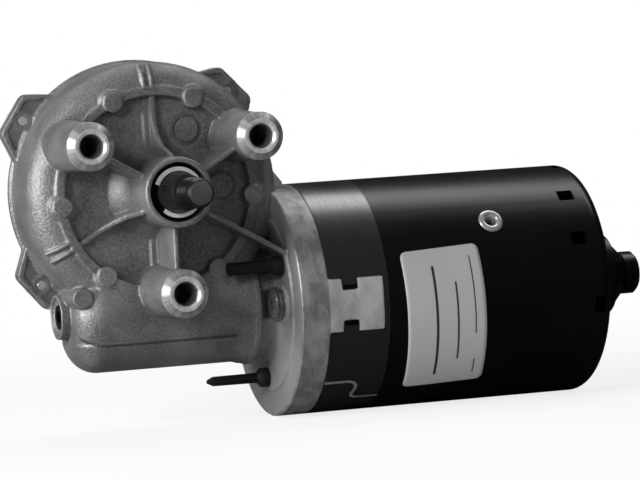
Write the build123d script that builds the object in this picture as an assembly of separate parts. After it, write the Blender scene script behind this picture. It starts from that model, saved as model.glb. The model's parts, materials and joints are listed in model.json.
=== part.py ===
from build123d import *
import math
import os

# Wiper motor with worm gearbox. Sizes are millimetres, angles are degrees.
# The origin lies on the output shaft's axis, in the plane of the three mounting boss faces.
# The output shaft points along -Y, the electric motor lies along +X, and +Z is up.

# Fits
running_gap = 0.04          # radial play of a shaft in its bush
seat_gap = 0.02             # radial play of a pressed or moulded seat
screw_gap = 0.25            # radial play of a screw in a plain hole
thread_gap = 0.05           # radial play between a screw and its tapped hole
face_gap = 0.1              # axial play beside a turning piece
brush_gap = 0.15            # air between a brush and the commutator, and beside it in its box

# Gear pair
module = 1.5
wheel_teeth = 45
wheel_face = 11.0
worm_pitch_radius = 6.25
worm_length = 24.0
pressure_angle = 20.0
backlash = 0.3
tip_clearance = 0.375
wheel_pitch_radius = module * wheel_teeth / 2
worm_lead = math.pi * module
worm_lead_angle = math.degrees(math.atan(module / (2 * worm_pitch_radius)))

# Gear case: depths are measured behind the boss faces
wheel_depth = 42.5          # depth of the motor's axis and of the wheel's middle plane
rim_depth = 55.5
plateau_depth = 26.5
floor_depth = 29.0
floor_wall = 3.5
case_radius = 42.8
case_wall = 3.4
shoulder_round = 9.0
lip_width = 0.9
lip_height = 2.5
ledge_radius = 31.6
ledge_slope = 0.7
cavity_radius = case_radius - case_wall
cavity_depth = floor_depth + floor_wall

# Neck
neck_face_depth = 1.1
neck_radius = 11.5
neck_bevel = 0.6
neck_root_radius = 16.5
neck_root_height = 13.0
mouth_radius = 9.7
mouth_depth = 5.0
bush_wall = 2.0
bush_length = 8.0

# Mounting bosses
boss_circle_radius = 33.0
boss_angles = (30.0, 150.0, 270.0)
boss_radius = 7.6
boss_root_radius = 8.7
boss_ring_radius = 7.9
boss_ring_depth = 3.2
boss_bevel_depth = 2.0
boss_face_radius = 5.7
boss_thread_radius = 4.0
boss_thread_depth = 20.0
drill_point = 2.0

# Ribs, rim band, ejector pads and date stamp discs on the front of the case
rib_thickness = 1.6
boss_rib_depth = 8.5
flange_rib_depth = 16.0
wall_rib_angles = (90.0, 210.0)
wall_rib_profile = ((12.4, 9.0), (15.3, 19.0), (18.6, 23.6), (24.0, 26.4))
rib_foot_width = 3.0
rib_foot_rise = 0.9
shoulder_rib_thickness = 1.2
shoulder_rib_rise = 1.0
shoulder_rib_step = 4.3     # angle between the two ribs of a pair on the shoulder
band_width = 3.2
band_rise = 0.8
pad_angles = (65.5, 114.5, 185.5, 234.5, 305.5, 354.5)
pad_radius = 3.3
pad_circle_radius = 32.9
pad_rise = 1.5
pad_bulge_radius = 4.5
stamp_radius = 5.3
stamp_depth = 0.6
stamp_places = ((11.8, 19.6), (22.6, 0.6))

# Ears that take the cover screws
ear_angles = (146.0, 220.0, 43.0)
ear_length = 7.3            # how far an ear stands out of the case wall
ear_root_half_width = 13.0
ear_tip_half_width = 7.6
ear_round = 3.0
ear_thickness = 5.5
ear_edge = 1.5
ear_pocket_depth = 2.0
cover_screw_offset = 2.9    # from the case wall to a cover screw
cover_screw_radius = 2.0
cover_screw_head_radius = 4.0
cover_screw_head_height = 2.6
cover_screw_sink = 0.6      # how far the screw's point stays below its ear's face
ear_boss_wall = 1.3
ear_reach = case_radius + ear_length
cover_screw_circle_radius = case_radius + cover_screw_offset

# Worm tube: places along the motor's axis are X values
tube_radius = 18.6
tube_end_x = -33.0
tube_nose_radius = 7.5
tube_nose_length = 3.4
tube_round = 9.5
tube_sole_step = 0.8        # how far the tube's lower half stands out at the parting line
tube_sole_angle = 30.0      # parting line, below the front of the tube
tube_sole_end_x = 26.5
tube_swell_x = 23.8
tube_swell_length = 4.8
tube_swell_rise = 1.5
tube_ring_x = 30.4
tube_ring_width = 1.6
tube_ring_rise = 2.0
tube_pad_x = -28.0
tube_pad_drop = 6.6         # height of the pad above the motor's axis
tube_pad_sink = 1.2         # depth of the pad's face behind the front of the tube
worm_room = 1.9             # air around the worm in its tube
worm_bush_outer_radius = 6.5
worm_bush_length = 9.0
worm_bush_start_x = -24.0
adjuster_radius = 4.0
adjuster_length = 4.6
adjuster_recess = 0.8
adjuster_socket_radius = 2.2
adjuster_socket_depth = 2.6
nose_recess_radius = 5.4

# Motor flange of the case
flange_x = 39.3
flange_depth = 10.5
flange_plate = 4.0
tube_fillet = 4.0
can_radius = 38.9
can_wall = 2.5
spigot_length = 3.2
spigot_gap = 0.2
spigot_wall = 2.4
face_step_radius = 30.5
face_step_depth = 0.8
tongue_angles = (1.5, 181.5)
tongue_length = 19.0
tongue_waist_start = 4.7
tongue_waist_end = 10.0
tongue_half_width = 8.9
tongue_waist_half_width = 5.0
tongue_thickness = 4.4
tongue_gap = 0.15
can_start_x = flange_x + flange_depth
spigot_radius = can_radius - can_wall - spigot_gap

# Front ball bearing
bearing_bore_radius = 5.0
bearing_outer_radius = 13.0
bearing_width = 8.0
bearing_ball_radius = 2.38
bearing_ball_count = 8
bearing_ball_gap = 0.04
bearing_shoulder_height = 0.75
bearing_x = 44.0
bearing_hub_wall = 4.0
cage_half_width = 2.9
cage_half_thickness = 0.7
retainer_thickness = 1.5
retainer_opening_radius = 10.6
retainer_radius = 17.0
bearing_pitch_radius = (bearing_bore_radius + bearing_outer_radius) / 2
bearing_end_x = bearing_x + bearing_width

# Screws through the flange, which hold the bearing retainer
flange_screw_angles = (0.0, 180.0)
flange_screw_circle_radius = 21.8
flange_screw_radius = 2.5
flange_screw_head_radius = 5.3
flange_screw_head_height = 3.6
washer_radius = 6.1
washer_thickness = 1.0
screw_post_radius = 5.2

# Rubber plugs that carry the brush plate
plug_angles = (-30.0, 90.0, 210.0)
plug_circle_radius = 25.6
plug_waist_radius = 2.4
plug_flare_radius = 3.3
plug_flare_length = 2.2
plug_tail_radius = 1.7
plug_tail_length = 19.5
plug_point_length = 3.0
plug_body_radius = 4.0
plug_head_length = 2.4
brush_plate_x = 56.5
brush_plate_thickness = 2.5
brush_plate_bore_radius = 14.5
brush_plate_gap = 0.5       # radial air between the brush plate and the case's tongues

# Brushes
brush_angles = (0.0, 180.0, 120.0)
brush_width = 7.6
brush_height = 8.0
brush_length = 11.0
box_wall = 0.8
box_end_radius = 31.0
box_start_radius = 14.2
spring_radius = 2.7
spring_wire = 0.6
spring_turns = 4

# Interference suppression
choke_angles = (-75.0, -105.0)
choke_circle_radius = 24.0
choke_radius = 3.6
choke_core_radius = 2.0
choke_length = 14.0
choke_core_overhang = 1.5
capacitor_angle = 45.0
capacitor_size = (9.0, 5.0, 11.0)

# Armature
shaft_radius = 5.0
worm_journal_radius = 4.0
rear_journal_radius = 4.0
thrust_gap = 0.1
commutator_x = 60.5
commutator_length = 19.0
commutator_radius = 12.0
commutator_bars = 24
commutator_slot = 0.6
commutator_slot_depth = 1.2
commutator_hub_radius = 8.4
riser_radius = 13.6
riser_length = 2.4
core_x = 91.0
core_length = 50.0
air_gap = 1.0
core_slots = 12
slot_inner_radius = 13.0
slot_half_width = 2.6
slot_mouth_half_width = 1.1
tooth_tip = 2.2
insulator_thickness = 1.0
winding_inner_radius = 9.0
winding_overhang = 7.5
slot_liner = 0.3

# Motor can
can_length = 96.8           # straight part, from the flange to the rounded end
can_corner_round = 4.3
can_end_slope = 22.3
cup_radius = 13.8
cup_depth = 3.3
cup_shoulder_radius = 12.6
cup_step = 0.3
knob_neck_radius = 7.0
knob_neck_height = 5.5
knob_radius = 7.3
knob_height = 5.9
knob_edge = 1.1
cup_wall = 2.2
pole_gap_angle = -36.0      # middle of the gap between the magnets, above the front
inner_window_offset = 13.0
inner_window_x = 140.4
inner_window_size = (5.6, 4.6)
outer_window_offset = 47.5
outer_window_x = 146.0
outer_window_size = (4.0, 5.6)
rivet_x = 110.6
rivet_flange_radius = 4.0
rivet_barrel_radius = 2.8
rivet_bore_radius = 2.0
rivet_flange_height = 0.8
can_end_x = can_start_x + can_length

# Magnets and their clips
magnet_thickness = 8.6
magnet_span = 118.0
magnet_length = 56.0
magnet_x = 86.0
magnet_gap = 0.1
clip_thickness = 0.8
clip_magnet_angle = 6.0     # angle between a clip and the magnets beside it
clip_length = 44.0
clip_leg_height = 5.0
magnet_outer_radius = can_radius - can_wall - magnet_gap
magnet_inner_radius = magnet_outer_radius - magnet_thickness
core_radius = magnet_inner_radius - air_gap
clip_span = 180 - magnet_span - 2 * clip_magnet_angle

# Rear bearing
rear_bush_ball_radius = 7.2
rear_bush_half_width = 4.3
rear_retainer_thickness = 0.7
rear_shaft_end_gap = 1.4

# Label
label_x = 76.0
label_width = 29.5
label_start_angle = -22.6
label_end_angle = 50.6
label_thickness = 0.15

# Output shaft: heights are measured in front of the boss faces
output_radius = 7.0
knurl_start_height = -1.4
knurl_start_radius = 6.9
knurl_end_height = 8.6
knurl_end_radius = 5.75
relief_radius = 4.2
relief_length = 1.2
output_thread_radius = 5.0
output_tip_height = 23.0
output_tip_bevel = 1.2
output_tail_length = 2.0
ring_groove_depth = 0.5
ring_thickness = 1.0
ring_outer_radius = 8.3
ring_opening = 70.0
neck_washer_outer_radius = 8.95
neck_washer_thickness = 1.0
seal_thickness = 1.9

# Worm wheel
wheel_web = 3.0
wheel_rim_wall = 4.0
wheel_hub_radius = 12.0
wheel_ribs = 9
wheel_rib_thickness = 2.0
wheel_hub_back = 2.0        # length of the hub behind the rim
thrust_washer_thickness = 1.2
drive_plate_radius = 19.0
drive_plate_thickness = 1.5
drive_plate_holes = 6
drive_plate_hole_radius = 2.0
parking_inner_radius = 13.2
parking_outer_radius = 24.2
parking_thickness = 0.8
parking_notch_angle = 46.0
parking_notch_radius = 20.3

# Cover, gasket and contacts
gasket_thickness = 0.8
cover_thickness = 1.5
cover_inset = 0.4
flange_clearance = 0.6
dome_radius = 8.0
dome_height = 3.0
bead_inner_radius = 28.0
bead_outer_radius = 35.0
bead_height = 1.0
tab_reach_x = 52.8
tab_top_z = 7.0
tab_root_z = 13.0
button_radius = 5.0
contact_center = (-15.0, 19.5)
carrier_size = (22.0, 18.0)
carrier_thickness = 2.4
carrier_opening = (19.6, 14.0)
blade_count = 5
blade_pitch = 4.0
blade_thickness = 0.8
blade_width = 5.0
blade_gap = 0.1
blade_reach = 9.5
socket_size = (24.4, 19.4)
socket_depth = 12.0
socket_floor = 2.2
socket_wall = 2.2
socket_round = 2.0
finger_radii = (15.0, 18.5, 22.0)
finger_width = 2.2
finger_thickness = 0.4
finger_contact_x = 4.0
finger_gap = 0.3

# Frames: in each one local Z is the axis that the pieces are turned about
GEAR = Plane(origin=(0, 0, 0), x_dir=(1, 0, 0), z_dir=(0, -1, 0))
motor_drop = wheel_pitch_radius + worm_pitch_radius
MOTOR = Plane(origin=(0, wheel_depth, -motor_drop), x_dir=(0, -1, 0), z_dir=(1, 0, 0))


def turned(*points):
    """Solid of revolution about local Z from (radius, height) corners."""
    return revolve(Plane.XZ * make_face(Polyline(*points, close=True)), Axis.Z)


def disc(radius, start, end):
    """Round bar along local Z."""
    return Pos(0, 0, start) * extrude(Circle(radius), end - start)


def ring(outer, inner, start, end):
    """Plain ring along local Z."""
    return Pos(0, 0, start) * extrude(Circle(outer) - Circle(inner), end - start)


def block(size_x, size_y, start, end):
    """Rectangular bar along local Z, centred on it."""
    return Pos(0, 0, start) * extrude(Rectangle(size_x, size_y), end - start)


def at(radius, angle, height=0.0):
    """Place on a circle about local Z, turned to face outwards."""
    return Rot(0, 0, angle) * Pos(radius, 0, height)


def sector(outer, inner, start, end, angle, span):
    """Part of a ring about local Z, centred on an angle."""
    face = Plane.XZ * make_face(
        Polyline((inner, start), (outer, start), (outer, end), (inner, end), close=True)
    )
    return Rot(0, 0, angle - span / 2) * revolve(face, Axis.Z, span)


def joined(shapes):
    """One body from shapes that touch."""
    total = shapes[0]
    for shape in shapes[1:]:
        total = total + shape
    return total


def group(shapes):
    """Separate solids kept in one node."""
    return Compound([solid for shape in shapes for solid in shape.solids()])


# Gear case

def case_blank():
    """Filled round case: rim lip, wall, rounded shoulder, ledge and sunken floor."""
    shoulder = case_radius - shoulder_round
    bend = shoulder_round * math.sqrt(0.5)
    lip_top = -rim_depth + lip_height
    edges = [
        Polyline(
            (0, -rim_depth),
            (case_radius + lip_width, -rim_depth),
            (case_radius + lip_width, lip_top),
            (case_radius, lip_top),
            (case_radius, -plateau_depth - shoulder_round),
        ),
        ThreePointArc(
            (case_radius, -plateau_depth - shoulder_round),
            (shoulder + bend, -plateau_depth - shoulder_round + bend),
            (shoulder, -plateau_depth),
        ),
        Polyline(
            (shoulder, -plateau_depth),
            (ledge_radius, -plateau_depth),
            (ledge_radius - ledge_slope, -floor_depth),
            (0, -floor_depth),
            (0, -rim_depth),
        ),
    ]
    return revolve(Plane.XZ * make_face(edges), Axis.Z)


def neck_blank():
    """Neck round the output shaft, flaring into the floor."""
    flare_top = -floor_depth + neck_root_height
    flare_width = neck_root_radius - neck_radius
    edges = [
        Polyline(
            (neck_radius, flare_top),
            (neck_radius, -neck_face_depth - neck_bevel),
            (neck_radius - neck_bevel, -neck_face_depth),
            (0, -neck_face_depth),
            (0, -floor_depth - floor_wall / 2),
            (neck_root_radius, -floor_depth - floor_wall / 2),
            (neck_root_radius, -floor_depth),
        ),
        ThreePointArc(
            (neck_root_radius, -floor_depth),
            (neck_radius + 0.22 * flare_width, -floor_depth + 0.38 * neck_root_height),
            (neck_radius, flare_top),
        ),
    ]
    return revolve(Plane.XZ * make_face(edges), Axis.Z)


def boss_blank(angle):
    """Tapered cast boss with a bevelled, machined end."""
    boss = turned(
        (0, 0),
        (boss_face_radius, 0),
        (boss_ring_radius, -boss_bevel_depth),
        (boss_ring_radius, -boss_ring_depth),
        (boss_radius, -boss_ring_depth - 0.6),
        (boss_root_radius, -plateau_depth),
        (boss_root_radius, -plateau_depth - shoulder_round),
        (0, -plateau_depth - shoulder_round),
    )
    return at(boss_circle_radius, angle) * boss


def boss_hole(angle):
    """Blind drilled hole that the mounting thread is cut in."""
    hole = turned(
        (0, 1),
        (boss_thread_radius, 1),
        (boss_thread_radius, -boss_thread_depth),
        (0, -boss_thread_depth - drill_point),
    )
    return at(boss_circle_radius, angle) * hole


def rib(angle, top, thickness=rib_thickness):
    """Upright rib on the floor, under a line of (radius, depth) corners."""
    base = -floor_depth - floor_wall / 2
    crest = [(radius, -depth) for radius, depth in top]
    side = Polyline((top[0][0], base), *crest, (top[-1][0], base), close=True)
    plate = extrude(Plane.XZ * make_face(side), thickness / 2, both=True)
    return Rot(0, 0, angle) * plate


def boss_ribs():
    """High webs from the neck to the three bosses."""
    start = neck_radius - neck_bevel
    end = boss_circle_radius - boss_thread_radius - 1
    return [rib(angle, [(start, boss_rib_depth), (end, boss_rib_depth)]) for angle in boss_angles]


def wall_ribs():
    """Ribs that fall from the neck to the floor and end in the rim band."""
    start = (neck_radius - neck_bevel, wall_rib_profile[0][1])
    end = (ledge_radius + 1, wall_rib_profile[-1][1])
    return [rib(angle, [start, *wall_rib_profile, end]) for angle in wall_rib_angles]


def flange_rib():
    """Level web from the neck to the motor flange."""
    end = flange_x / math.cos(math.radians(30)) + flange_plate
    return rib(330, [(neck_radius - neck_bevel, flange_rib_depth), (end, flange_rib_depth)])


def rib_foot(angle, side):
    """Low step along one side of a rib."""
    base = -floor_depth - floor_wall / 2
    length = ledge_radius - neck_radius
    step = block(length, rib_foot_width, base, -floor_depth + rib_foot_rise)
    return at(neck_radius + length / 2, angle) * Pos(0, side * rib_foot_width / 2, 0) * step


def shoulder_rib(angle):
    """Thin rib that follows the rounded shoulder outwards from the rim band."""
    center = case_radius - shoulder_round
    reach = shoulder_round + shoulder_rib_rise
    depth = plateau_depth + shoulder_round
    bow = reach * math.sqrt(0.5)
    side = [
        ThreePointArc((center, reach - depth), (center + bow, bow - depth), (center + reach, -depth)),
        Polyline((center + reach, -depth), (center, -depth), (center, reach - depth)),
    ]
    plate = extrude(Plane.XZ * make_face(side), shoulder_rib_thickness / 2, both=True)
    plate -= disc(2 * case_radius, -depth - 1, -depth + shoulder_round / 2)
    return Rot(0, 0, angle) * plate


def shoulder_ribs():
    """Pairs of thin ribs on the shoulder, each beside a rib of the floor."""
    angles = []
    for angle, side in zip(wall_rib_angles, (1, -1)):
        angles += [angle, angle + side * shoulder_rib_step]
    return [shoulder_rib(angle) for angle in angles]


def case_ribs():
    """Every rib on the front of the case."""
    feet = [rib_foot(90, 1), rib_foot(270, -1)]
    return joined([*boss_ribs(), *wall_ribs(), flange_rib(), *feet, *shoulder_ribs()])


def rim_band():
    """Raised band round the sunken floor, swelling round each ejector pad."""
    base = -floor_depth + band_rise
    top = -plateau_depth + band_rise
    band = ring(ledge_radius + band_width, ledge_radius, base, top)
    bulge = disc(pad_bulge_radius, base, top)
    swells = joined([at(pad_circle_radius, angle) * bulge for angle in pad_angles])
    return band + (swells - disc(ledge_radius, base - 1, top + 1))


def case_pads():
    """Round ejector pads in the rim band."""
    pad = disc(pad_radius, -floor_depth - floor_wall / 2, -plateau_depth + pad_rise)
    return joined([at(pad_circle_radius, angle) * pad for angle in pad_angles])


def ear_outline(inset=0.0):
    """Plan of a screw ear, its root buried in the round rim."""
    root = case_radius - case_wall / 2
    reach = ear_reach - inset
    face = make_face(
        Polyline(
            (root, -ear_root_half_width + inset),
            (reach, -ear_tip_half_width + inset),
            (reach, ear_tip_half_width - inset),
            (root, ear_root_half_width - inset),
            close=True,
        )
    )
    corners = face.vertices().group_by(Axis.X)[-1]
    return fillet(corners, ear_round - inset / 2)


def case_ear(angle):
    """Cast ear with a raised edge and a boss round the screw hole."""
    ear = extrude(ear_outline(), ear_thickness)
    pocket = extrude(ear_outline(ear_edge), ear_pocket_depth)
    pocket -= disc(cavity_radius + case_wall + lip_width, -1, ear_thickness)
    pocket -= at(cover_screw_circle_radius, 0) * disc(cover_screw_radius + ear_boss_wall, -1, ear_thickness)
    ear -= Pos(0, 0, ear_thickness - ear_pocket_depth) * pocket
    return at(0, angle, -rim_depth) * ear


def tongue_outline(gap=0.0):
    """H-shaped plan of a locking tongue, lengthwise from the can's open edge."""
    wide = tongue_half_width + gap
    waist = tongue_waist_half_width + gap
    near = tongue_waist_start + gap
    far = tongue_waist_end - gap
    tip = tongue_length + gap
    half = [(-1, wide), (near, wide), (near, waist), (far, waist), (far, wide), (tip, wide)]
    other = [(x, -y) for x, y in reversed(half)]
    return make_face(Polyline(*half, *other, close=True))


def tongue_prism(angle, gap=0.0):
    """The tongue's plan driven outwards from the motor's axis."""
    plan = Plane(origin=(0, 0, can_start_x), x_dir=(0, 0, 1), z_dir=(1, 0, 0))
    return Rot(0, 0, angle) * extrude(plan * tongue_outline(gap), can_radius + 5)


def tube_blank():
    """Worm tube with its rounded nose, the round motor flange and the spigot in the can."""
    nose_x = tube_end_x + tube_nose_length
    inner = tube_radius - tube_round
    bend = tube_round * math.sqrt(0.5)
    swell = tube_fillet * (1 - math.sqrt(0.5))
    edges = [
        Polyline(
            (0, tube_end_x),
            (tube_nose_radius, tube_end_x),
            (tube_nose_radius, nose_x),
            (inner, nose_x),
        ),
        ThreePointArc(
            (inner, nose_x),
            (inner + bend, nose_x + tube_round - bend),
            (tube_radius, nose_x + tube_round),
        ),
        Polyline(
            (tube_radius, nose_x + tube_round),
            (tube_radius, tube_swell_x),
            (tube_radius + tube_swell_rise, tube_swell_x + tube_swell_length),
            (tube_radius + tube_swell_rise, tube_ring_x),
            (tube_radius + tube_ring_rise, tube_ring_x),
            (tube_radius + tube_ring_rise, tube_ring_x + tube_ring_width),
            (tube_radius, tube_ring_x + tube_ring_width + tube_ring_rise / 2),
            (tube_radius, flange_x - tube_fillet),
        ),
        ThreePointArc(
            (tube_radius, flange_x - tube_fillet),
            (tube_radius + swell, flange_x - swell),
            (tube_radius + tube_fillet, flange_x),
        ),
        Polyline(
            (tube_radius + tube_fillet, flange_x),
            (face_step_radius, flange_x),
            (face_step_radius, flange_x + face_step_depth),
            (can_radius, flange_x + face_step_depth),
            (can_radius, can_start_x),
            (spigot_radius, can_start_x),
            (spigot_radius, can_start_x + spigot_length),
            (0, can_start_x + spigot_length),
            (0, tube_end_x),
        ),
    ]
    return revolve(Plane.XZ * make_face(edges), Axis.Z)


def tube_sole():
    """Lower half of the worm tube, which stands out below the parting line."""
    nose_x = tube_end_x + tube_nose_length
    outer = tube_radius + tube_sole_step
    bend = tube_round * math.sqrt(0.5)
    inner = outer - tube_round
    edges = [
        Polyline((0, tube_sole_end_x), (0, nose_x), (inner, nose_x)),
        ThreePointArc(
            (inner, nose_x),
            (inner + bend, nose_x + tube_round - bend),
            (outer, nose_x + tube_round),
        ),
        Polyline((outer, nose_x + tube_round), (outer, tube_sole_end_x), (0, tube_sole_end_x)),
    ]
    sole = revolve(Plane.XZ * make_face(edges), Axis.Z)
    half = block(4 * tube_radius, 2 * tube_radius, tube_end_x, tube_sole_end_x + 1)
    lower = Pos(0, tube_radius * (1 + math.sin(math.radians(tube_sole_angle))), 0) * half
    return sole & lower


def tube_back_cut():
    """Space behind the rim plane, where the tube is flat for the cover."""
    behind = rim_depth - wheel_depth
    size = 2 * case_radius
    return Pos(-behind - size / 2, 0, 0) * block(size, 2 * size, tube_end_x - 1, flange_x)


def flange_pocket():
    """Hollow behind the flange plate, round the bearing hub, its screw posts and plug seats."""
    start = flange_x + flange_plate
    end = can_start_x + spigot_length + 1
    hub = bearing_outer_radius + bearing_hub_wall
    pocket = ring(spigot_radius - spigot_wall, hub, start, end)
    for angle in flange_screw_angles:
        pocket -= at(flange_screw_circle_radius, angle) * disc(screw_post_radius, start, end)
    return pocket + disc(spigot_radius - spigot_wall, bearing_end_x, end)


def tube_bores():
    """Bores along the motor's axis: adjuster, end bush, worm, and the ball bearing's seat."""
    worm_tip = worm_pitch_radius + module
    bores = disc(adjuster_radius + thread_gap, tube_end_x - 1, worm_bush_start_x)
    bores += disc(nose_recess_radius, tube_end_x - 1, tube_end_x + adjuster_recess)
    bush_end = worm_bush_start_x + worm_bush_length
    bores += disc(worm_bush_outer_radius + seat_gap, worm_bush_start_x, bush_end)
    bores += disc(worm_tip + worm_room, bush_end, bearing_x)
    bores += disc(bearing_outer_radius + seat_gap, bearing_x, bearing_end_x)
    return bores


def case_hollow():
    """Wheel chamber and the stepped bore of the neck."""
    hollow = disc(cavity_radius, -rim_depth - 1, -cavity_depth)
    hollow += disc(output_radius + bush_wall + seat_gap, -cavity_depth - 1, 0)
    hollow += disc(mouth_radius, -neck_face_depth - mouth_depth, 0)
    return hollow


def gear_housing():
    """Die-cast case, neck, bosses, worm tube and motor flange in one casting."""
    body = GEAR * (case_blank() + neck_blank() + case_ribs() + rim_band() + case_pads())
    for angle in boss_angles:
        body += GEAR * boss_blank(angle)
    for angle in ear_angles:
        body += GEAR * case_ear(angle)
    body += MOTOR * (tube_blank() + tube_sole() - tube_back_cut())
    tongue_end = can_start_x + tongue_length + 1
    shell = ring(can_radius, can_radius - tongue_thickness, can_start_x - 1, tongue_end)
    for angle in tongue_angles:
        body += MOTOR * (shell & tongue_prism(angle))
    pad = disc(pad_radius, -wheel_depth, -wheel_depth + tube_radius - tube_pad_sink)
    body += GEAR * (Pos(tube_pad_x, -motor_drop + tube_pad_drop, 0) * pad)
    body -= GEAR * case_hollow()
    body -= MOTOR * tube_bores()
    body -= MOTOR * flange_pocket()
    for angle in boss_angles:
        body -= GEAR * boss_hole(angle)
    for angle in ear_angles:
        hole = disc(cover_screw_radius + thread_gap, -rim_depth - 1, -rim_depth + ear_thickness + 1)
        body -= GEAR * (at(cover_screw_circle_radius, angle) * hole)
    for angle in flange_screw_angles:
        hole = disc(flange_screw_radius + screw_gap, flange_x - 1, bearing_end_x + 1)
        head_room = washer_thickness + flange_screw_head_height + 1
        seat = disc(washer_radius + screw_gap, flange_x - head_room, flange_x)
        body -= MOTOR * (at(flange_screw_circle_radius, angle) * (hole + seat))
    for angle in plug_angles:
        hole = disc(plug_waist_radius + seat_gap, flange_x - 1, can_start_x)
        body -= MOTOR * (at(plug_circle_radius, angle) * hole)
    for place in stamp_places:
        stamp = disc(stamp_radius, -floor_depth - stamp_depth, -floor_depth + 1)
        body -= GEAR * (Pos(*place, 0) * stamp)
    return body


# Neck pieces

def neck_bushes():
    """Two sintered bushes that carry the output shaft."""
    inner = output_radius + running_gap
    outer = output_radius + bush_wall
    front = -neck_face_depth - mouth_depth
    bush = GEAR * ring(outer, inner, 0, bush_length)
    return group([Pos(0, bush_length - front, 0) * bush, Pos(0, cavity_depth, 0) * bush])


def shaft_seal():
    """Rubber seal at the bottom of the neck's mouth."""
    bottom = -neck_face_depth - mouth_depth
    seal = ring(mouth_radius - seat_gap, output_radius + running_gap, bottom, bottom + seal_thickness)
    return GEAR * seal


def neck_washer():
    """Bright washer over the seal."""
    bottom = -neck_face_depth - mouth_depth + seal_thickness
    top = bottom + neck_washer_thickness
    return GEAR * ring(neck_washer_outer_radius, output_radius + running_gap, bottom, top)


def ring_seat_height():
    """Height of the retaining ring's lower face."""
    return -neck_face_depth - mouth_depth + seal_thickness + neck_washer_thickness + face_gap


def retaining_ring():
    """Open spring ring in the output shaft's groove."""
    seat = ring_seat_height()
    inner = output_radius - ring_groove_depth + seat_gap
    return GEAR * sector(ring_outer_radius, inner, seat, seat + ring_thickness, 90, 360 - ring_opening)


# Output shaft and worm wheel

def output_shaft():
    """Shaft with ring groove, knurled cone, relief and threaded end."""
    groove = ring_seat_height()
    tail = -wheel_depth - wheel_face / 2 - wheel_hub_back - output_tail_length
    thread_start = knurl_end_height + relief_length
    shaft = turned(
        (0, tail),
        (output_radius - 1, tail),
        (output_radius, tail + 1),
        (output_radius, knurl_start_height),
        (knurl_start_radius, knurl_start_height),
        (knurl_end_radius, knurl_end_height),
        (relief_radius, knurl_end_height + 0.3),
        (relief_radius, thread_start),
        (output_thread_radius, thread_start + 0.6),
        (output_thread_radius, output_tip_height - output_tip_bevel),
        (output_thread_radius - output_tip_bevel, output_tip_height),
        (0, output_tip_height),
    )
    groove_end = groove + ring_thickness + seat_gap
    cut = ring(output_radius + 1, output_radius - ring_groove_depth, groove - seat_gap, groove_end)
    return GEAR * (shaft - cut)


def involute(radius):
    """Involute angle in radians of the wheel's base circle at a radius."""
    base = wheel_pitch_radius * math.cos(math.radians(pressure_angle))
    angle = math.acos(min(1.0, base / radius))
    return math.tan(angle) - angle


def involute_half_angle(radius):
    """Half of the tooth's angle at a radius, on an involute flank."""
    pitch_half = (math.pi * module / 2 - backlash) / (2 * wheel_pitch_radius)
    return pitch_half + involute(wheel_pitch_radius) - involute(radius)


def wheel_section(turn):
    """Toothed outline of the wheel, turned by an angle in degrees."""
    root = wheel_pitch_radius - module - tip_clearance
    tip = wheel_pitch_radius + module
    radii = (root, wheel_pitch_radius - 0.3 * module, wheel_pitch_radius + 0.4 * module, tip)
    points = []
    for tooth in range(wheel_teeth):
        middle = math.radians(turn - 90) + 2 * math.pi * tooth / wheel_teeth
        rising = [(r, middle - involute_half_angle(r)) for r in radii]
        falling = [(r, middle + involute_half_angle(r)) for r in reversed(radii)]
        points += [(r * math.cos(a), r * math.sin(a)) for r, a in rising + falling]
    return make_face(Polyline(*points, close=True))


def worm_wheel():
    """Moulded helical wheel with rim, web, ribs and hub."""
    front = -wheel_depth + wheel_face / 2
    back = -wheel_depth - wheel_face / 2
    twist = math.degrees(wheel_face * math.tan(math.radians(worm_lead_angle)) / wheel_pitch_radius)
    sections = [Pos(0, 0, back) * wheel_section(-twist / 2), Pos(0, 0, front) * wheel_section(twist / 2)]
    toothed = loft(sections, ruled=True)
    rim_inner = wheel_pitch_radius - module - tip_clearance - wheel_rim_wall
    hub_front = -cavity_depth - thrust_washer_thickness - face_gap
    wheel = toothed - disc(rim_inner, back + wheel_web, front + 1)
    wheel += disc(wheel_hub_radius, back - wheel_hub_back, hub_front)
    rib_start = drive_plate_radius + seat_gap
    spoke = block(rim_inner - rib_start + 1, wheel_rib_thickness, back + wheel_web, front - 1)
    for index in range(wheel_ribs):
        wheel += at((rib_start + rim_inner + 1) / 2, index * 360 / wheel_ribs) * spoke
    wheel -= disc(output_radius + seat_gap, back - wheel_hub_back - 1, hub_front + 1)
    return GEAR * wheel


def drive_plate():
    """Steel plate pressed on the hub and pinned into the web."""
    start = -wheel_depth - wheel_face / 2 + wheel_web
    plate = ring(drive_plate_radius, wheel_hub_radius + seat_gap, start, start + drive_plate_thickness)
    middle = (drive_plate_radius + wheel_hub_radius) / 2
    hole = disc(drive_plate_hole_radius, start - 1, start + drive_plate_thickness + 1)
    for index in range(drive_plate_holes):
        plate -= at(middle, index * 360 / drive_plate_holes) * hole
    return GEAR * plate


def thrust_washer():
    """Washer between the wheel's hub and the case floor."""
    top = -cavity_depth
    return GEAR * ring(wheel_hub_radius, output_radius + running_gap, top - thrust_washer_thickness, top)


def parking_disc():
    """Contact ring on the wheel's back, stepped inwards over the parking angle."""
    top = -wheel_depth - wheel_face / 2
    bottom = top - parking_thickness
    plate = ring(parking_outer_radius, parking_inner_radius, bottom, top)
    edge = parking_outer_radius + 1
    notch = sector(edge, parking_notch_radius, bottom - 1, top + 1, 90, parking_notch_angle)
    return GEAR * (plate - notch)


# Cover and contacts

def cover_front():
    """Height of the cover's inner face."""
    return -rim_depth - gasket_thickness


def behind_flange():
    """Space that the round motor flange takes out of the cover and gasket."""
    return MOTOR * disc(can_radius + flange_clearance, flange_x - flange_clearance, can_end_x)


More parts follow.
